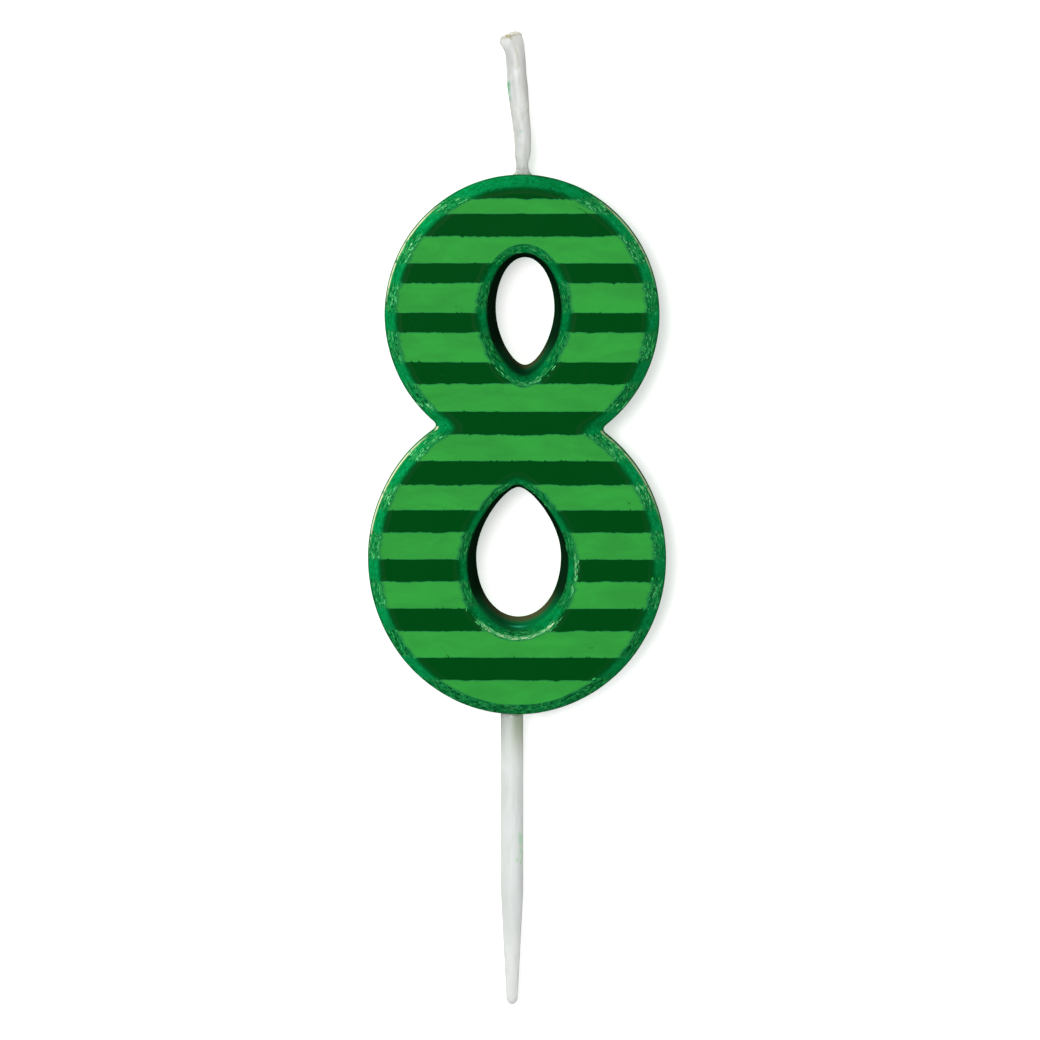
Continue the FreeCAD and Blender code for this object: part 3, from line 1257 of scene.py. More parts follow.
# ==== wax numeral ====
@dataclass
class WaxNumeral:
    """The moulded wax 8 with rounded bevels, drafted holes and the socket for the pick."""

    shape: NumeralShape
    finishes: Finishes
    row_spans: list[tuple[int, float, float]]
    waviness: float = 0.05 * MM
    shade: float = 0.32
    shaded: tuple[float, float, float, float] = (65.0, 115.0, 175.0, 245.0)
    socket_radius: float = 1.1 * MM
    socket_depth: float = 8.8 * MM
    quarter_points: int = 44

    def build(self) -> Piece:
        """Build the numeral.

        Returns:
            The numeral's object.
        """
        draft = MeshDraft()
        loops = {"front": [], "back": []}
        outer = self.shape.outer_profile()
        rings = [(depth, self.shape.ring(inset)) for depth, inset in outer]
        self._add_band(draft, rings, outer, loops, None)
        for hole in self.shape.holes:
            profile = self.shape.hole_profile(hole)
            rings = [(depth, hole.ring(growth, self.quarter_points)) for depth, growth in profile]
            self._add_band(draft, rings, profile, loops, hole)
        self._fill_faces(draft, loops)
        piece = draft.build("moulded_wax_numeral", self.finishes.green_wax)
        self._mark_edges(piece)
        self._cut_socket(piece)
        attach(piece, NUMERAL_BODY)
        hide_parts("wax_numeral")
        LOG.info("moulded_wax_numeral: %d faces", len(piece.data.polygons))
        return piece

    def _add_band(self, draft: MeshDraft, rings: list[tuple[float, Array]], profile: Array,
                  loops: dict[str, list[tuple[int, int]]], hole: Optional[EggHole]) -> None:
        """Add an edge band: the outer edge, or the wall of a hole.

        Args:
            draft: Where the band goes.
            rings: Depth and outline of every ring, from the front to the back.
            profile: The band's profile, one row of depth and offset for each ring.
            loops: Where the band's first and last rings are noted.
            hole: The hole, or nothing for the outer edge.
        """
        thickness = self.shape.back - self.shape.front
        bevel_depth = self.shape.bevel_depth if hole is None else self.shape.hole_bevel_depth
        along = np.concatenate([[0.0], np.cumsum(np.linalg.norm(np.diff(rings[0][1], axis=0), axis=1))])
        across = np.concatenate([[0.0], np.cumsum(np.linalg.norm(np.diff(profile, axis=0), axis=1))])
        starts = []
        centre = rings[len(rings) // 2][1].mean(axis=0)
        corner = across[np.argmax(profile[:, 0] > 0.01 * MM)]
        for (depth, outline), travelled in zip(rings, across):
            flat = 1.0 if depth < 0.02 * MM or depth > thickness - 0.02 * MM else 0.0
            wobble = self._wobble(outline, depth) * (1.0 - flat) * self.waviness
            direction = outline - centre
            direction /= np.linalg.norm(direction, axis=1)[:, None]
            moved = outline + direction * (wobble if hole is not None else -wobble)[:, None]
            points = at_depth(moved, self.shape.front + depth)
            values = self._values(points, depth, travelled - corner, bevel_depth, thickness, hole)
            if hole is None:
                facing = self._facing(outline)
                # A painted highlight line along the upper outer arcs.
                values["rim"] = self._rim_highlight(facing, depth)
                # Painted shade: the bevels facing down and to the right are dimmed towards the face colour.
                values["bevel"] *= 1.0 - self.shade * within(facing % 360.0, *self.shaded)
            starts.append(draft.add_ring(points, **values, edge_u=along, edge_v=travelled))
        draft.loft(starts, len(rings[0][1]))
        loops["front"].append((starts[0], len(rings[0][1])))
        loops["back"].append((starts[-1], len(rings[0][1])))

    @staticmethod
    def _wobble(outline: Array, depth: float) -> Array:
        """Return a gentle unevenness of cast wax, 0 to 1, at points of an outline."""
        x, z = outline[:, 0] / MM, outline[:, 1] / MM
        deep = depth / MM
        wave = (np.sin(x * 0.83 + deep * 0.7 + 1.0) + np.sin(z * 0.71 - deep * 0.5 + 2.2)
                + np.sin((x + z) * 0.41 + deep * 0.9) + 0.5 * np.sin(x * 2.3 - z * 1.9 + deep * 1.6))
        return np.clip(0.5 + wave / 7.0, 0.0, 1.0)

    def _values(self, points: Array, depth: float, reach: float, bevel_depth: float,
                thickness: float, hole: Optional[EggHole]) -> dict[str, Array | float]:
        """Work out a ring's values for the finish.

        Args:
            points: The ring's points.
            depth: Its depth behind the front.
            reach: Its distance along the profile from the flat face's edge, negative on the face.
            bevel_depth: Where the bevel ends.
            thickness: The numeral's thickness.
            hole: The hole, or nothing for the outer edge.

        Returns:
            The named values.
        """
        row = np.zeros(len(points))
        for _, foot, head in self.row_spans:
            row = np.maximum(row, within(points[:, 2], foot - 0.25 * MM, foot + 0.25 * MM,
                                         head - 0.2 * MM, head + 0.3 * MM))
        soft_end = 0.9 * MM if hole is None else 1.3 * MM
        on_edge = (row * smooth_step(-0.45 * MM, 0.6 * MM, reach)
                   + (1 - row) * smooth_step(-0.2 * MM, soft_end, reach))
        near_back = smooth_step(thickness - 0.6 * MM, thickness, depth)
        past_bevel = smooth_step(bevel_depth * 0.92, bevel_depth * 1.2, depth)
        values = {"bevel": on_edge * (1.0 - past_bevel), "foil_row": row * (1.0 - past_bevel),
                  "side": past_bevel, "hole_wall": 0.0, "wall_depth": 0.0, "wall_lit": 0.0,
                  "gleam": 0.0, "rim": 0.0, "turn": smooth_step(-0.6 * MM, -0.3 * MM, reach)}
        if hole is not None:
            low = np.clip((hole.z - points[:, 2]) / hole.drop, 0.0, 1.0)
            # Painted light and shade in the holes: a painted teal gleam, painted light on the lit foot and
            # painted shade on the wall.
            gleaming = math.exp(-((depth - 4.1 * MM) / (0.45 * MM)) ** 2)
            large = float(hole is self.shape.lower_hole)
            lit = smooth_step(0.45, 0.95, low) * (0.6 + 0.4 * large)
            reach_end = bevel_depth * (1.15 + 1.5 * lit)
            share = np.clip((depth - bevel_depth * 0.7) / (reach_end - bevel_depth * 0.7), 0.0, 1.0)
            place = np.exp(-((points[:, 0] - hole.x) / (0.8 * MM)) ** 2)
            values.update({
                "side": 0.0, "bevel": 0.84 * on_edge, "foil_row": row * (1.0 - past_bevel),
                "hole_wall": share * share * (3 - 2 * share) * (1.0 - near_back),
                "wall_depth": smooth_step(bevel_depth + 3.5 * MM, bevel_depth + 7.5 * MM, depth),
                "wall_lit": lit,
                "gleam": 0.85 * large * place * lit * gleaming})
        return values

    @staticmethod
    def _facing(outline: Array) -> Array:
        """Return which way a clockwise outline faces, in degrees: 0 is up and 90 is to the right."""
        ahead = np.roll(outline, -1, axis=0) - np.roll(outline, 1, axis=0)
        return np.degrees(np.arctan2(-ahead[:, 1], ahead[:, 0]))

    @staticmethod
    def _rim_highlight(facing: Array, depth: float) -> Array:
        """Return where the turn from bevel to side carries a painted highlight: the upper arcs, mostly to
        the left.

        Args:
            facing: Which way the outline faces at each point, in degrees.
            depth: Its depth behind the front.

        Returns:
            The strength of the painted highlight, 0 to 1.
        """
        left = within(facing, -88.0, -76.0, -48.0, -34.0)
        right = within(facing, 30.0, 42.0, 62.0, 80.0)
        return (left + 0.6 * right) * within(depth, 1.9 * MM, 2.05 * MM, 2.2 * MM, 2.4 * MM)

    def _fill_faces(self, draft: MeshDraft, loops: dict[str, list[tuple[int, int]]]) -> None:
        """Fill the flat front and back between the bands.

        Args:
            draft: The numeral's bands.
            loops: First vertex and length of every ring that borders each flat face.
        """
        points = np.concatenate(draft.points)[:, [0, 2]]
        for rings in loops.values():
            numbers = [start + index for start, count in rings for index in range(count)]
            owner = [ring for ring, (_, count) in enumerate(rings) for _ in range(count)]
            edges, first = [], 0
            for _, count in rings:
                edges += [(first + index, first + (index + 1) % count) for index in range(count)]
                first += count
            flat = [Vector(points[number] / MM) for number in numbers]
            _, _, faces, origins, _, _ = delaunay_2d_cdt(flat, edges, [], 1, 1e-7)
            for face in faces:
                corners = [origins[corner][0] for corner in face]
                owners = {owner[corner] for corner in corners}
                if len(owners) > 1 or owners == {0}:
                    draft.faces.append(tuple(numbers[corner] for corner in corners))

    @staticmethod
    def _mark_edges(piece: Piece) -> None:
        """Turn the along and across distances into the UV map that the edge pattern follows."""
        mesh = piece.data
        along = np.empty(len(mesh.vertices), np.float32)
        across = np.empty(len(mesh.vertices), np.float32)
        mesh.attributes["edge_u"].data.foreach_get("value", along)
        mesh.attributes["edge_v"].data.foreach_get("value", across)
        corners = np.empty(len(mesh.loops), np.int32)
        mesh.loops.foreach_get("vertex_index", corners)
        layer = mesh.uv_layers.new(name="edge")
        pairs = np.stack([along[corners], across[corners]], axis=-1)
        layer.data.foreach_set("uv", pairs.ravel())
        for name in ("edge_u", "edge_v"):
            mesh.attributes.remove(mesh.attributes[name])

    def _cut_socket(self, piece: Piece) -> None:
        """Cut the blind socket for the pick's spigot up into the underside.

        Args:
            piece: The numeral.
        """
        bpy.ops.mesh.primitive_cylinder_add(vertices=48, radius=self.socket_radius,
                                            depth=self.socket_depth + 1 * MM,
                                            location=(0, 0, (self.socket_depth - 1 * MM) / 2))
        cutter = bpy.context.object
        cut = piece.modifiers.new("socket", "BOOLEAN")
        cut.operation, cut.solver, cut.object = "DIFFERENCE", "EXACT", cutter
        settle(piece)
        bpy.data.objects.remove(cutter)


# ==== Geometry Nodes ====
def new_growth(name: str, inputs: Iterable[tuple[str, str]]) -> tuple[Tree, Sheet, object]:
    """Make an empty Geometry Nodes tree with its sockets.

    Args:
        name: The tree's name.
        inputs: Name and kind of each input after the geometry.

    Returns:
        The tree, its sheet and the sockets that it is given.
    """
    tree = bpy.data.node_groups.new(name, "GeometryNodeTree")
    tree.is_modifier = True
    for label, kind in (("Geometry", "Geometry"), *inputs):
        tree.interface.new_socket(name=label, in_out="INPUT", socket_type=f"NodeSocket{kind}")
    tree.interface.new_socket(name="Geometry", in_out="OUTPUT", socket_type="NodeSocketGeometry")
    sheet = Sheet(tree)
    return tree, sheet, sheet.add("NodeGroupInput").outputs


def finish_growth(sheet: Sheet, geometry: Socket, finish: Socket) -> None:
    """Set the material on a tree's geometry and hand it out.

    Args:
        sheet: The tree's sheet.
        geometry: The realized geometry.
        finish: The material's socket.
    """
    dressed = sheet.add("GeometryNodeSetMaterial", {"Geometry": geometry, "Material": finish})
    sheet.feed(sheet.add("NodeGroupOutput").inputs["Geometry"], dressed.outputs[0])


def grow(host: Piece, tree: Tree,
         wanted: dict[str, object]) -> Piece:
    """Run a tree on an object and keep the result as plain mesh.

    Args:
        host: The object.
        tree: The tree.
        wanted: A value for each named input.

    Returns:
        The finished object.
    """
    modifier = host.modifiers.new(tree.name, "NODES")
    modifier.node_group = tree
    for socket in tree.interface.items_tree:
        if socket.item_type == "SOCKET" and socket.in_out == "INPUT" and socket.name in wanted:
            modifier[socket.identifier] = wanted[socket.name]
    return settle(host)


# ==== broken foil on the bevels ====
@dataclass
class BevelFlecks:
    """Scraps of foil scattered over some bevels where a light row runs off the flat face."""

    name: str
    shape: NumeralShape
    finishes: Finishes
    row_spans: list[tuple[int, float, float]]
    holes: tuple[EggHole, ...] = ()
    per_square_metre: float = 2.2e7
    length: float = 0.44 * MM
    width: float = 0.16 * MM
    thickness: float = 0.03 * MM
    spin: float = 0.3
    seed: int = 8

    def build(self) -> Piece:
        """Scatter the scraps over a host band and keep only the scraps.

        Returns:
            The scraps' object.
        """
        piece = grow(self._host(), self._scatter_tree(), {
            "Density": self.per_square_metre, "Length": self.length, "Width": self.width,
            "Thickness": self.thickness, "Spin": self.spin, "Seed": self.seed,
            "Finish": self.finishes.flecks})
        piece.name = self.name
        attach(piece, NUMERAL_BODY)
        LOG.info("%s: %d faces", self.name, len(piece.data.polygons))
        return piece

    def _host(self) -> Piece:
        """Build the bevels as open bands that carry the scraps' density and direction.

        Returns:
            The host object.
        """
        draft = MeshDraft()
        bands: list[tuple[Array, float, Callable, Optional[EggHole]]] = [
            (self.shape.hole_profile(hole), self.shape.hole_bevel_depth,
             lambda offset, h=hole: h.ring(offset, 60), hole) for hole in self.holes]
        if not bands:
            bands = [(self.shape.outer_profile(), self.shape.bevel_depth, self.shape.ring, None)]
        for profile, bevel_depth, outline_at, hole in bands:
            starts, count = [], 0
            corner = np.count_nonzero(profile[:, 0] == 0.0) - 1
            for depth, offset in profile[corner:]:
                if depth > bevel_depth * 1.02 or (starts and depth == 0.0):
                    continue
                outline = outline_at(offset)
                points = at_depth(outline, self.shape.front + depth)
                ahead = np.roll(outline, -1, axis=0) - np.roll(outline, 1, axis=0)
                ahead /= np.linalg.norm(ahead, axis=1)[:, None]
                share = depth / bevel_depth
                weight, pale = self._weight(points, share, hole)
                starts.append(draft.add_ring(points, weight=weight, pale=pale,
                                             ahead_x=ahead[:, 0], ahead_z=ahead[:, 1]))
                count = len(outline)
            draft.loft(starts, count)
        return draft.build("bevel_host", self.finishes.flecks)

    def _weight(self, points: Array, share: float,
                hole: Optional[EggHole]) -> tuple[Array, Array]:
        """Return how thickly scraps lie at each point, and how pale they are painted as light and shade.

        Args:
            points: The points.
            share: How far down the bevel they are, 0 to 1.
            hole: The hole whose bevel this is, or nothing for the outer edge.

        Returns:
            The weight, up to 2.5, and the paleness, below 0 where the scraps are dark; the pale strips and
            the paler upper bevels are painted highlight, the darker lower bevels painted shade.
        """
        x, z = points[:, 0], points[:, 2]
        row = np.zeros(len(points))
        for _, foot, head in self.row_spans:
            row = np.maximum(row, within(z, foot - 0.05 * MM, foot + 0.3 * MM,
                                         head - 0.3 * MM, head + 0.1 * MM))
        patch = np.clip(Ripple(41 + self.seed, 1.6 * MM, 0.5).at(z * 1.7 + x * 0.9) + 0.6, 0.08, 1.0)
        weight = row * patch * (1.0 - 0.85 * share)
        if hole is None:
            middle = np.where(z > self.shape.lower.z + self.shape.lower.half_height, self.shape.upper.z,
                              self.shape.lower.z)
            left = smooth_step(0.0, 10 * MM, -x)
            above = smooth_step(0.0, 8 * MM, z - middle)
            below = smooth_step(3 * MM, 11 * MM, middle - z)
            # Painted light and shade: scraps are painted paler on the upper bevels, most on the left, and
            # darker on the lower ones.
            return weight, (above * (0.16 + 0.16 * left) - 0.42 * below) * row
        low = np.clip((hole.z - z) / hole.drop, 0.0, 1.3)
        # Painted glints: pale scrap strips along the foot of each hole and on the lower hole's right side.
        arc = smooth_step(0.82, 1.05, low) * math.exp(-((share - 0.22) / 0.2) ** 2)
        right = ((x > hole.x + hole.half_width) * math.exp(-((share - 0.1) / 0.12) ** 2)
                 * within(z - hole.z, -4.5 * MM, -3.0 * MM, 0.5 * MM, 2.0 * MM))
        large = float(hole is self.shape.lower_hole)
        glint_strip = np.maximum(arc * (0.45 + 0.55 * large), 0.8 * right * large)
        return np.clip(weight + 1.6 * glint_strip, 0.0, 2.5), glint_strip - 0.14

    @staticmethod
    def _scatter_tree() -> Tree:
        """Build the tree that scatters thin irregular scraps over the host."""
        tree, sheet, given = new_growth("scatter_foil_scraps", (
            ("Density", "Float"), ("Length", "Float"), ("Width", "Float"), ("Thickness", "Float"),
            ("Spin", "Float"), ("Seed", "Int"), ("Finish", "Material")))

        def named(label: str) -> Socket:
            read = sheet.add("GeometryNodeInputNamedAttribute", {"Name": label}, data_type="FLOAT")
            return read.outputs["Attribute"]

        def draw(low: float, high: float, salt: int) -> Socket:
            seed = sheet.maths("ADD", given["Seed"], float(salt))
            made = sheet.add("FunctionNodeRandomValue", data_type="FLOAT")
            limits = {"Min": low, "Max": high}
            for socket in made.inputs:
                if socket.name in limits and socket.type == "VALUE" and socket.enabled:
                    socket.default_value = limits[socket.name]
            sheet.feed(made.inputs["Seed"], seed)
            return next(s for s in made.outputs if s.type == "VALUE" and s.enabled)

        density = sheet.times(given["Density"], named("weight"))
        scattered = sheet.add("GeometryNodeDistributePointsOnFaces",
                              {"Mesh": given["Geometry"], "Density": density, "Seed": given["Seed"]})
        ahead = sheet.add("ShaderNodeCombineXYZ", {0: named("ahead_x"), 2: named("ahead_z")}).outputs[0]
        upright = sheet.add("FunctionNodeAlignRotationToVector",
                            {"Vector": scattered.outputs["Normal"]}, axis="Z")
        aimed = sheet.add("FunctionNodeAlignRotationToVector",
                          {"Rotation": upright.outputs[0], "Vector": ahead}, axis="X", pivot_axis="Z")
        spin = sheet.add("FunctionNodeAxisAngleToRotation",
                         {"Axis": (0.0, 0.0, 1.0),
                          "Angle": sheet.times(given["Spin"], draw(-1.0, 1.0, 3))})
        turned = sheet.add("FunctionNodeRotateRotation",
                           {"Rotation": aimed.outputs[0], "Rotate By": spin.outputs[0]},
                           rotation_space="LOCAL")
        scrap = sheet.add("GeometryNodeMeshCylinder", {"Vertices": 6, "Radius": 0.5, "Depth": 1.0},
                          fill_type="NGON")
        size = sheet.add("ShaderNodeCombineXYZ", {
            0: sheet.times(given["Length"], draw(0.35, 1.5, 11)),
            1: sheet.times(given["Width"], draw(0.5, 1.7, 12)),
            2: sheet.times(given["Thickness"], draw(0.6, 1.3, 13))}).outputs[0]
        placed = sheet.add("GeometryNodeInstanceOnPoints", {
            "Points": scattered.outputs["Points"], "Instance": scrap.outputs["Mesh"],
            "Rotation": turned.outputs[0], "Scale": size})
        tone = sheet.times(named("pale"), 0.6, draw(0.0, 0.8, 21))
        toned = sheet.add("GeometryNodeStoreNamedAttribute", {
            "Geometry": placed.outputs[0], "Name": "tone", "Value": tone},
            data_type="FLOAT", domain="INSTANCE")
        solid = sheet.add("GeometryNodeRealizeInstances", {"Geometry": toned.outputs[0]})
        where = sheet.add("GeometryNodeInputPosition").outputs[0]
        crumple = sheet.add("ShaderNodeTexNoise", {"Vector": where, "Scale": 3600.0, "Detail": 1.0})
        centred = sheet.add("ShaderNodeVectorMath", {0: crumple.outputs["Color"], 1: (0.5, 0.5, 0.5)},
                            operation="SUBTRACT").outputs[0]
        push = sheet.add("ShaderNodeVectorMath", {0: centred, "Scale": 0.00014},
                         operation="SCALE").outputs[0]
        bent = sheet.add("GeometryNodeSetPosition", {"Geometry": solid.outputs[0], "Offset": push})
        finish_growth(sheet, bent.outputs[0], given["Finish"])
        return tree


# ==== wick ====
@dataclass(frozen=True)
class WickSection:
    """The wick's skin at one height: its middle and its half sizes across and front to back."""

    z: float
    x: float
    across: float
    through: float


@dataclass
class Wick:
    """The braided cotton core, the stiff priming wax over it and the wax fillet at its foot."""

    shape: NumeralShape
    finishes: Finishes
    sections: tuple[WickSection, ...] = tuple(WickSection(*(size * MM for size in row)) for row in (
        (68.05, 1.30, 0.80, 0.80), (68.80, 1.27, 0.74, 0.76), (69.70, 1.31, 0.93, 0.90),
        (71.00, 1.34, 1.04, 0.98), (73.20, 1.22, 1.10, 1.02), (75.60, 0.96, 1.16, 1.05),
        (78.20, 0.70, 1.22, 1.08), (80.60, 0.51, 1.20, 1.04), (82.60, 0.32, 1.25, 0.92),
        (83.50, 0.10, 1.36, 0.80), (84.20, -0.14, 1.46, 0.70), (84.62, -0.16, 1.42, 0.64)))
    around: int = 72
    levels: int = 150
    strands: int = 8
    twists: float = 7.0
    crease_turn: float = -math.pi / 2 + 0.22
    crease_lean: float = -0.035
    crease_width: float = 0.16
    crease_rise: tuple[float, float] = (80.3 * MM, 81.2 * MM)
    core_radius: float = 0.40 * MM
    strand_radius: float = 0.19 * MM

    def build(self) -> list[Piece]:
        """Build the wick's three pieces.

        Returns:
            The core, the skin and the fillet.
        """
        pieces = [self._core(), self._skin(), self._fillet()]
        nodes = ("wick_braid", "wick_wax_coat", "wick_collar")
        slots = ("wick_cotton", "wick_wax", "wick_wax")
        for piece, node, slot_name in zip(pieces, nodes, slots):
            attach(piece, NUMERAL_BODY)
            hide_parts(node)
            LOG.info("%s: %d faces", piece.name, len(piece.data.polygons))
        return pieces

    def _at(self, z: Array, name: str) -> Array:
        """Read one of the sections' sizes at any height, smoothly between the sections."""
        heights = np.array([section.z for section in self.sections])
        sizes = np.array([getattr(section, name) for section in self.sections])
        slopes = np.gradient(sizes, heights)
        index = np.clip(np.searchsorted(heights, z) - 1, 0, len(heights) - 2)
        gap = heights[index + 1] - heights[index]
        share = np.clip((z - heights[index]) / gap, 0.0, 1.0)
        square, cube = share ** 2, share ** 3
        before, after = gap * slopes[index], gap * slopes[index + 1]
        return ((2 * cube - 3 * square + 1) * sizes[index] + (cube - 2 * square + share) * before
                + (3 * square - 2 * cube) * sizes[index + 1] + (cube - square) * after)

    def _tip_height(self, x: Array, y: Array) -> Array:
        """Return the height of the slanting cut at the wick's tip, higher to the right and behind."""
        end = self.sections[-1]
        across = (x - end.x) / end.across
        through = y / end.through
        return end.z + 0.24 * MM * across + 0.34 * MM * through + 0.13 * MM * np.sin(across * 2.6 + 0.8)

    def _skin(self) -> Piece:
        """Build the lumpy priming wax with its folded, slanting cut end."""
        turn = np.linspace(0.0, 2 * math.pi, self.around, endpoint=False)
        start, end = self.sections[0].z, self.sections[-1].z
        draft = MeshDraft()
        rings = []
        lumps = Ripple(61, 1.7 * MM, 0.035)
        pleats = Ripple(67, 0.8, 0.03)
        for share in np.linspace(0.0, 1.0, self.levels):
            z = start + (end - start) * share
            across, through, middle = (self._at(z, name) for name in ("across", "through", "x"))
            swell = (1.0 + lumps.at(z) + lumps.at(z + turn * 0.9 * MM) * 0.8
                     + pleats.at(turn * 1.3 + z / MM * 0.12))
            from_crease = turn - self.crease_turn - self.crease_lean * (z - end) / MM
            from_crease = np.abs((from_crease + math.pi) % (2 * math.pi) - math.pi)
            crease = ((1.0 - smooth_step(0.0, self.crease_width, from_crease))
                      * smooth_step(*self.crease_rise, z))
            x = middle + across * np.cos(turn) * (swell - 0.02 * crease)
            y = through * np.sin(turn) * (swell - 0.04 * crease)
            top = self._tip_height(x, y)
            height = z + (top - end) * smooth_step(0.86, 1.0, share)
            points = np.stack([x, y, height], axis=-1)
            rings.append(draft.add_ring(points, smear=self._smear(points), crease=crease * 0.6))
        outer_rim = draft.points[-1]
        mouth = outer_rim.mean(axis=0)
        for inward, down, tint in ((0.07, -0.10, 0.5), (0.18, -0.15, 0.75), (0.32, -0.13, 0.45),
                                   (0.48, -0.05, 0.15), (0.66, 0.03, 0.05), (0.84, 0.08, 0.25)):
            points = outer_rim + (mouth - outer_rim) * inward
            points[:, 2] -= down * MM
            rings.append(draft.add_ring(points, smear=0.0, crease=tint))
        draft.close(rings[-1], self.around, draft.points[-1].mean(axis=0), smear=0.0, crease=1.0)
        draft.close(rings[0], self.around, draft.points[0].mean(axis=0), smear=0.0, crease=0.0)
        draft.loft(rings, self.around)
        return draft.build("primed_wick_skin", self.finishes.wick_wax)

    @staticmethod
    def _smear(points: Array) -> Array:
        """Return how much green wax has rubbed off: one trace on the left, one fleck in front."""
        left = (1 - smooth_step(-0.35 * MM, 0.1 * MM, points[:, 0])) * within(
            points[:, 2], 76.2 * MM, 76.9 * MM, 78.6 * MM, 79.3 * MM)
        fleck_gap = np.hypot(points[:, 0] - 1.2 * MM, points[:, 2] - 72.8 * MM)
        fleck = (1 - smooth_step(0.1 * MM, 0.4 * MM, fleck_gap)) * (points[:, 1] < 0)
        return np.clip(left + 0.7 * fleck, 0.0, 1.0)

    def _core(self) -> Piece:
        """Braid the cotton strands along the wick's path with Geometry Nodes."""
        low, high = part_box("wick_braid")
        heights = np.linspace(low[2] + self.strand_radius, self.sections[-1].z + 0.06 * MM, 40)
        middle = np.where(heights < self.sections[0].z, self.sections[0].x, self._at(heights, "x"))
        curve = bpy.data.curves.new("wick_path", "CURVE")
        curve.dimensions = "3D"
        path = curve.splines.new("POLY")
        path.points.add(len(heights) - 1)
        for node, x, z in zip(path.points, middle, heights):
            node.co = (x, 0.0, z, 1.0)
        return grow(put("braided_wick_core", curve), self._braid_tree(), {
            "Strands": self.strands, "Twists": self.twists, "Core Radius": self.core_radius,
            "Strand Radius": self.strand_radius, "Finish": self.finishes.cotton})

    @staticmethod
    def _braid_tree() -> Tree:
        """Build the tree that winds strands both ways round a path, over and under each other."""
        tree, sheet, given = new_growth("braid_strands", (
            ("Strands", "Int"), ("Twists", "Float"), ("Core Radius", "Float"),
            ("Strand Radius", "Float"), ("Finish", "Material")))
        even = sheet.add("GeometryNodeResampleCurve", {"Curve": given["Geometry"], "Count": 240})
        copies = sheet.add("GeometryNodeDuplicateElements",
                           {"Geometry": even.outputs[0], "Amount": given["Strands"]}, domain="SPLINE")
        index = copies.outputs["Duplicate Index"]
        along = sheet.add("GeometryNodeSplineParameter").outputs["Factor"]
        way = sheet.times(sheet.maths("MODULO", index, 2.0), 2.0, -1.0)
        phase = sheet.times(sheet.maths("DIVIDE", index, given["Strands"]), 2 * math.pi)
        wound = sheet.times(sheet.times(along, given["Twists"]), 2 * math.pi)
        angle = sheet.times(wound, way, phase)
        weave = sheet.times(sheet.maths("COSINE", sheet.times(
            wound, 4.0, sheet.times(index, math.pi))), 0.22)
        reach = sheet.times(given["Core Radius"], sheet.maths("ADD", weave, 1.0))
        ahead = sheet.add("GeometryNodeInputTangent").outputs[0]
        sideways = sheet.add("ShaderNodeVectorMath", {0: ahead, 1: (0.0, 1.0, 0.0)},
                             operation="CROSS_PRODUCT").outputs[0]
        across = sheet.add("ShaderNodeVectorMath", {
            0: sideways, "Scale": sheet.times(reach, sheet.maths("COSINE", angle))},
            operation="SCALE").outputs[0]
        through = sheet.add("ShaderNodeCombineXYZ", {
            1: sheet.times(reach, sheet.maths("SINE", angle))}).outputs[0]
        offset = sheet.add("ShaderNodeVectorMath", {0: across, 1: through}, operation="ADD").outputs[0]
        wound_path = sheet.add("GeometryNodeSetPosition",
                               {"Geometry": copies.outputs[0], "Offset": offset})
        ring = sheet.add("GeometryNodeCurvePrimitiveCircle",
                         {"Resolution": 8, "Radius": given["Strand Radius"]}, mode="RADIUS")
        tube = sheet.add("GeometryNodeCurveToMesh", {
            "Curve": wound_path.outputs[0], "Profile Curve": ring.outputs[0], "Fill Caps": True})
        solid = sheet.add("GeometryNodeRealizeInstances", {"Geometry": tube.outputs[0]})
        soft = sheet.add("GeometryNodeSetShadeSmooth",
                         {"Geometry": solid.outputs[0], "Shade Smooth": True})
        finish_growth(sheet, soft.outputs[0], given["Finish"])
        return tree

    def _fillet(self) -> Piece:
        """Build the small pale fillet of wax where the wick leaves the numeral."""
        turn = np.linspace(0.0, 2 * math.pi, self.around, endpoint=False)
        foot = self.sections[0]
        draft = MeshDraft()
        uneven = Ripple(93, 0.7, 0.12)
        rings = []
        levels = ((-1.05, 0.90), (-0.62, 1.16), (-0.5, 1.04), (-0.38, 0.93), (-0.22, 0.85), (0.0, 0.80),
                  (0.16, 0.775), (0.2, 0.70))
        for rise, radius in levels:
            spread = radius * MM * (1.0 + uneven.at(turn * 1.4) * (radius - 0.75))
            points = np.stack([foot.x + spread * np.cos(turn), spread * np.sin(turn),
                               np.full(self.around, foot.z + rise * MM)], axis=-1)
            rings.append(draft.add_ring(points, smear=0.65 * float(rise < -0.3), crease=0.1))
        draft.loft(rings, self.around)
        draft.close(rings[0], self.around, draft.points[0].mean(axis=0), smear=0.0, crease=0.0)
        draft.close(rings[-1], self.around, draft.points[-2].mean(axis=0), smear=0.0, crease=0.0)
        return draft.build("wick_foot_fillet", self.finishes.wick_wax)


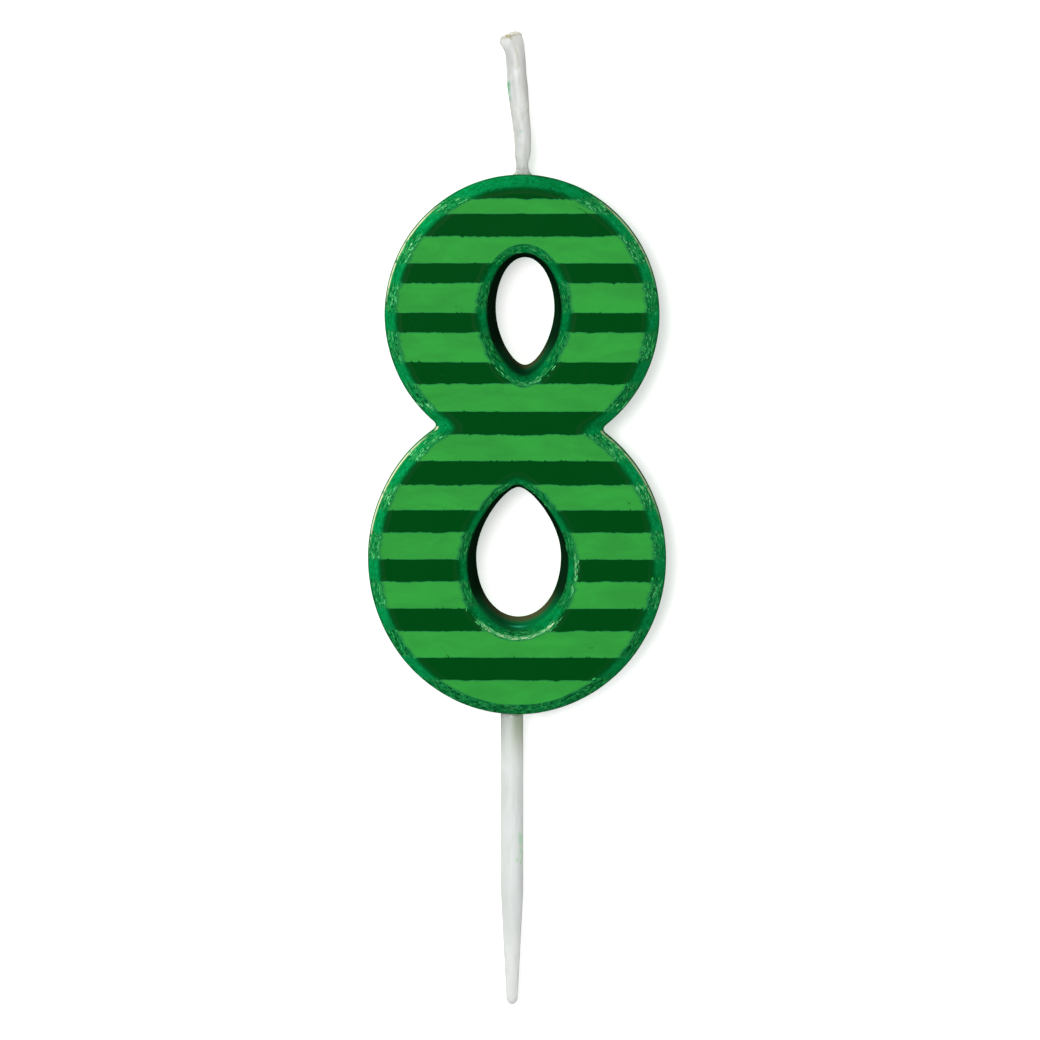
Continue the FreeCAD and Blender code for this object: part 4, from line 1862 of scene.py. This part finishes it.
# ==== cake pick ====
@dataclass
class CakePick:
    """The moulded pick: spigot, shoulder, parallel shank, long taper and blunt point."""

    finishes: Finishes
    shank_length: float = 22.1 * MM
    point_radius: float = 0.72 * MM
    point_length: float = 0.95 * MM
    spigot_radius: float = 1.05 * MM
    spigot_lead: float = 0.4 * MM
    seam: float = 0.022 * MM
    around: int = 96

    def build(self) -> Piece:
        """Build the pick.

        Returns:
            The pick's object.
        """
        low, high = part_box("cake_pick")
        self.radius, self.top, self.tip = (high[0] - low[0]) / 2, high[2], low[2]
        draft = MeshDraft()
        turn = np.linspace(0.0, 2 * math.pi, self.around, endpoint=False)
        rings = []
        uneven = Ripple(23, 4.5 * MM, 0.006)
        for z, radius in self._profile():
            seam = self.seam * (np.exp(-((np.cos(turn) ** 2) / 0.0012)) if z < 0 else 0.0)
            spread = np.minimum(radius * (1.0 + uneven.at(z)), self.radius - self.seam) + seam
            points = np.stack([spread * np.cos(turn), spread * np.sin(turn),
                               np.full(self.around, z)], axis=-1)
            # Painted contact shade with a green cast from the wax: darker just under the numeral and toward
            # the right side.
            shaded = smooth_step(-7.0 * MM, -1.2 * MM, points[:, 2]) * (
                0.4 + 0.6 * smooth_step(-0.5 * MM, 0.7 * MM, points[:, 0]))
            rings.append(draft.add_ring(points, smear=self._smear(points), stain=shaded))
        draft.loft(rings, self.around)
        draft.close(rings[0], self.around, np.array([0.0, 0.0, self.top]), smear=0.0, stain=0.0)
        draft.close(rings[-1], self.around, np.array([0.0, 0.0, self.tip]), smear=0.2, stain=0.0)
        piece = draft.build("moulded_cake_pick", self.finishes.pick)
        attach(piece, PICK_BODY)
        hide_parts("cake_pick")
        LOG.info("moulded_cake_pick: %d faces", len(piece.data.polygons))
        return piece

    def _profile(self) -> list[tuple[float, float]]:
        """Return the pick's outline from the top down as height and radius."""
        edge = 0.06 * MM
        taper_end = self.tip + self.point_length
        corners = ((self.top, self.spigot_radius - self.spigot_lead),
                   (self.top - self.spigot_lead, self.spigot_radius), (edge, self.spigot_radius),
                   (0.0, self.spigot_radius + edge), (0.0, self.radius - edge), (-edge, self.radius),
                   (-self.shank_length, self.radius), (taper_end, self.point_radius))
        path = [corners[0]]
        for before, after in zip(corners, corners[1:]):
            steps = max(1, int(math.hypot(after[0] - before[0], after[1] - before[1]) / (0.4 * MM)))
            path += [(before[0] + (after[0] - before[0]) * k / steps,
                      before[1] + (after[1] - before[1]) * k / steps) for k in range(1, steps + 1)]
        for angle in np.linspace(0.0, math.pi / 2, 14)[1:-1]:
            path.append((taper_end - self.point_length * math.sin(angle),
                         self.point_radius * math.cos(angle)))
        return path

    @staticmethod
    def _smear(points: Array) -> Array:
        """Return where green wax has rubbed off, on the spigot and down the right side, and a faint painted
        green reflection of the wax just under the numeral.
        """
        x, z = points[:, 0] / MM, points[:, 2] / MM
        facing = smooth_step(0.45, 1.1, x) * (points[:, 1] < 0.6 * MM)
        lower = within(z, -20.5, -17.5, -15.6, -14.6) * facing
        spot = (1 - smooth_step(0.2, 0.7, np.hypot(x - 0.9, z + 18.6))) * (points[:, 1] < 0)
        # A faint painted green reflection of the wax just under the numeral.
        collar = smooth_step(-3.4, -0.6, z) * 0.2 * (1 - smooth_step(0.0, 0.1, z))
        spigot = smooth_step(0.3, 1.2, z) * 0.5
        return np.clip(0.55 * lower + 0.8 * spot + collar * smooth_step(-0.4, 0.9, x) + spigot, 0.0, 1.0)


# ==== studio ====
@dataclass
class Studio:
    """The pale ground that the candle lies on, the soft lights and the camera in front."""

    shape: NumeralShape
    distance: float = 0.87
    elevation: float = math.radians(5.1)
    azimuth: float = math.radians(0.8)
    view_width: float = 130.0 * MM
    aim: tuple[float, float, float] = (1.0 * MM, 0.0, 24.25 * MM)
    ambient: float = 0.3
    glossy_ambient: float = 0.02
    ground_glow: float = 0.47

    def build(self) -> None:
        """Build the camera, the ground, the lights and the surroundings."""
        self._camera()
        self._ground()
        self._lights()
        self._surroundings()
        bpy.context.scene.view_settings.view_transform = "Standard"
        bpy.context.scene.view_settings.look = "None"
        LOG.info("studio built")

    def _camera(self) -> None:
        """Set the camera at the candle's front, a little above it."""
        data = bpy.data.cameras.new("front_camera")
        data.sensor_width = 36.0
        data.lens = data.sensor_width * self.distance / self.view_width
        data.clip_start, data.clip_end = 0.01, 20.0
        camera = put("front_camera", data)
        back = Vector((math.sin(self.azimuth) * math.cos(self.elevation),
                       -math.cos(self.azimuth) * math.cos(self.elevation), math.sin(self.elevation)))
        camera.location = Vector(self.aim) + back * self.distance
        camera.rotation_euler = (-back).to_track_quat("-Z", "Y").to_euler()
        bpy.context.scene.camera = camera

    def _ground(self) -> None:
        """Lay the pale ground behind the candle's flat back, seen from the front only."""
        half = 1.2
        y = self.shape.back + 0.05 * MM
        mesh = bpy.data.meshes.new("pale_ground")
        mesh.from_pydata([(-half, y, -half), (half, y, -half), (half, y, half), (-half, y, half)],
                         [], [(0, 1, 2, 3)])
        ground = put("pale_ground", mesh)
        material, sheet = bare_material("pale_ground")
        place = sheet.add("ShaderNodeTexCoord").outputs["Object"]
        paper = sheet.noise(place, 900.0, 4.0, 0.6)
        colour = sheet.blend(paper, (0.9, 0.9, 0.9, 1.0), (0.94, 0.94, 0.94, 1.0))
        matte = sheet.add("ShaderNodeBsdfDiffuse", {"Color": colour})
        glow = sheet.add("ShaderNodeEmission", {"Color": (1.0, 1.0, 1.0, 1.0), "Strength": self.ground_glow})
        lit = sheet.add("ShaderNodeAddShader", {0: matte.outputs[0], 1: glow.outputs[0]})
        clear = sheet.add("ShaderNodeBsdfTransparent")
        behind = sheet.add("ShaderNodeNewGeometry").outputs["Backfacing"]
        seen = sheet.add("ShaderNodeMixShader", {0: behind, 1: lit.outputs[0], 2: clear.outputs[0]})
        leave = sheet.add("ShaderNodeOutputMaterial")
        sheet.feed(leave.inputs["Surface"], seen.outputs[0])
        mesh.materials.append(material)
        for ray in ("shadow", "diffuse", "glossy", "transmission"):
            setattr(ground, f"visible_{ray}", False)

    def _lights(self) -> None:
        """Hang the soft lights: a main light up to the left, fills and a rim light behind."""
        for name, place, size, watts, colour in (
                ("main_softbox", (-0.165, -1.04, 0.19), 0.30, 5.8, (1.0, 1.0, 0.99)),
                ("low_fill", (-0.55, -0.65, -0.45), 0.5, 2.2, (0.95, 1.0, 1.0)),
                ("right_fill", (0.85, -0.30, 0.15), 0.5, 1.3, (1.0, 0.98, 0.94)),
                ("rim_softbox", (-0.40, 0.50, 0.46), 0.30, 7.0, (1.0, 0.98, 0.86)),
                ("back_fill", (0.45, 0.75, -0.10), 0.6, 3.0, (1.0, 1.0, 1.0))):
            data = bpy.data.lights.new(name, "AREA")
            data.shape = "DISK"
            data.size = size
            data.energy = watts
            data.color = colour
            lamp = put(name, data)
            lamp.location = place
            lamp.visible_glossy = name == "main_softbox"
            lamp.rotation_euler = (Vector(self.aim) - Vector(place)).to_track_quat("-Z", "Y").to_euler()

    def _surroundings(self) -> None:
        """Set a white surround for the camera and a dim one for the light."""
        world = bpy.data.worlds.new("studio")
        bpy.context.scene.world = world
        world.use_nodes = True
        world.node_tree.nodes.clear()
        sheet = Sheet(world.node_tree)
        path = sheet.add("ShaderNodeLightPath").outputs
        strength = sheet.times(path["Is Camera Ray"], 1.0 - self.ambient, self.ambient)
        strength = sheet.times(path["Is Glossy Ray"], self.glossy_ambient - self.ambient, strength)
        glow = sheet.add("ShaderNodeBackground", {"Color": (1.0, 1.0, 1.0, 1.0), "Strength": strength})
        leave = sheet.add("ShaderNodeOutputWorld")
        sheet.feed(leave.inputs["Surface"], glow.outputs[0])


def main() -> None:
    """Build the candle's pieces and the studio, in order."""
    logging.basicConfig(level=logging.INFO, format="%(name)s: %(message)s")
    finishes = Finishes()
    shape = NumeralShape()
    stripes = FoilStripes(shape, finishes)
    stripes.build()
    rows = stripes.row_spans()
    WaxNumeral(shape, finishes, rows).build()
    BevelFlecks("outer_bevel_foil_scraps", shape, finishes, rows).build()
    BevelFlecks("hole_bevel_foil_scraps", shape, finishes, rows, shape.holes, length=0.62 * MM,
                width=0.07 * MM, thickness=0.025 * MM, spin=0.2, seed=5).build()
    Wick(shape, finishes).build()
    CakePick(finishes).build()
    Studio(shape).build()


if __name__ == "__main__":
    main()
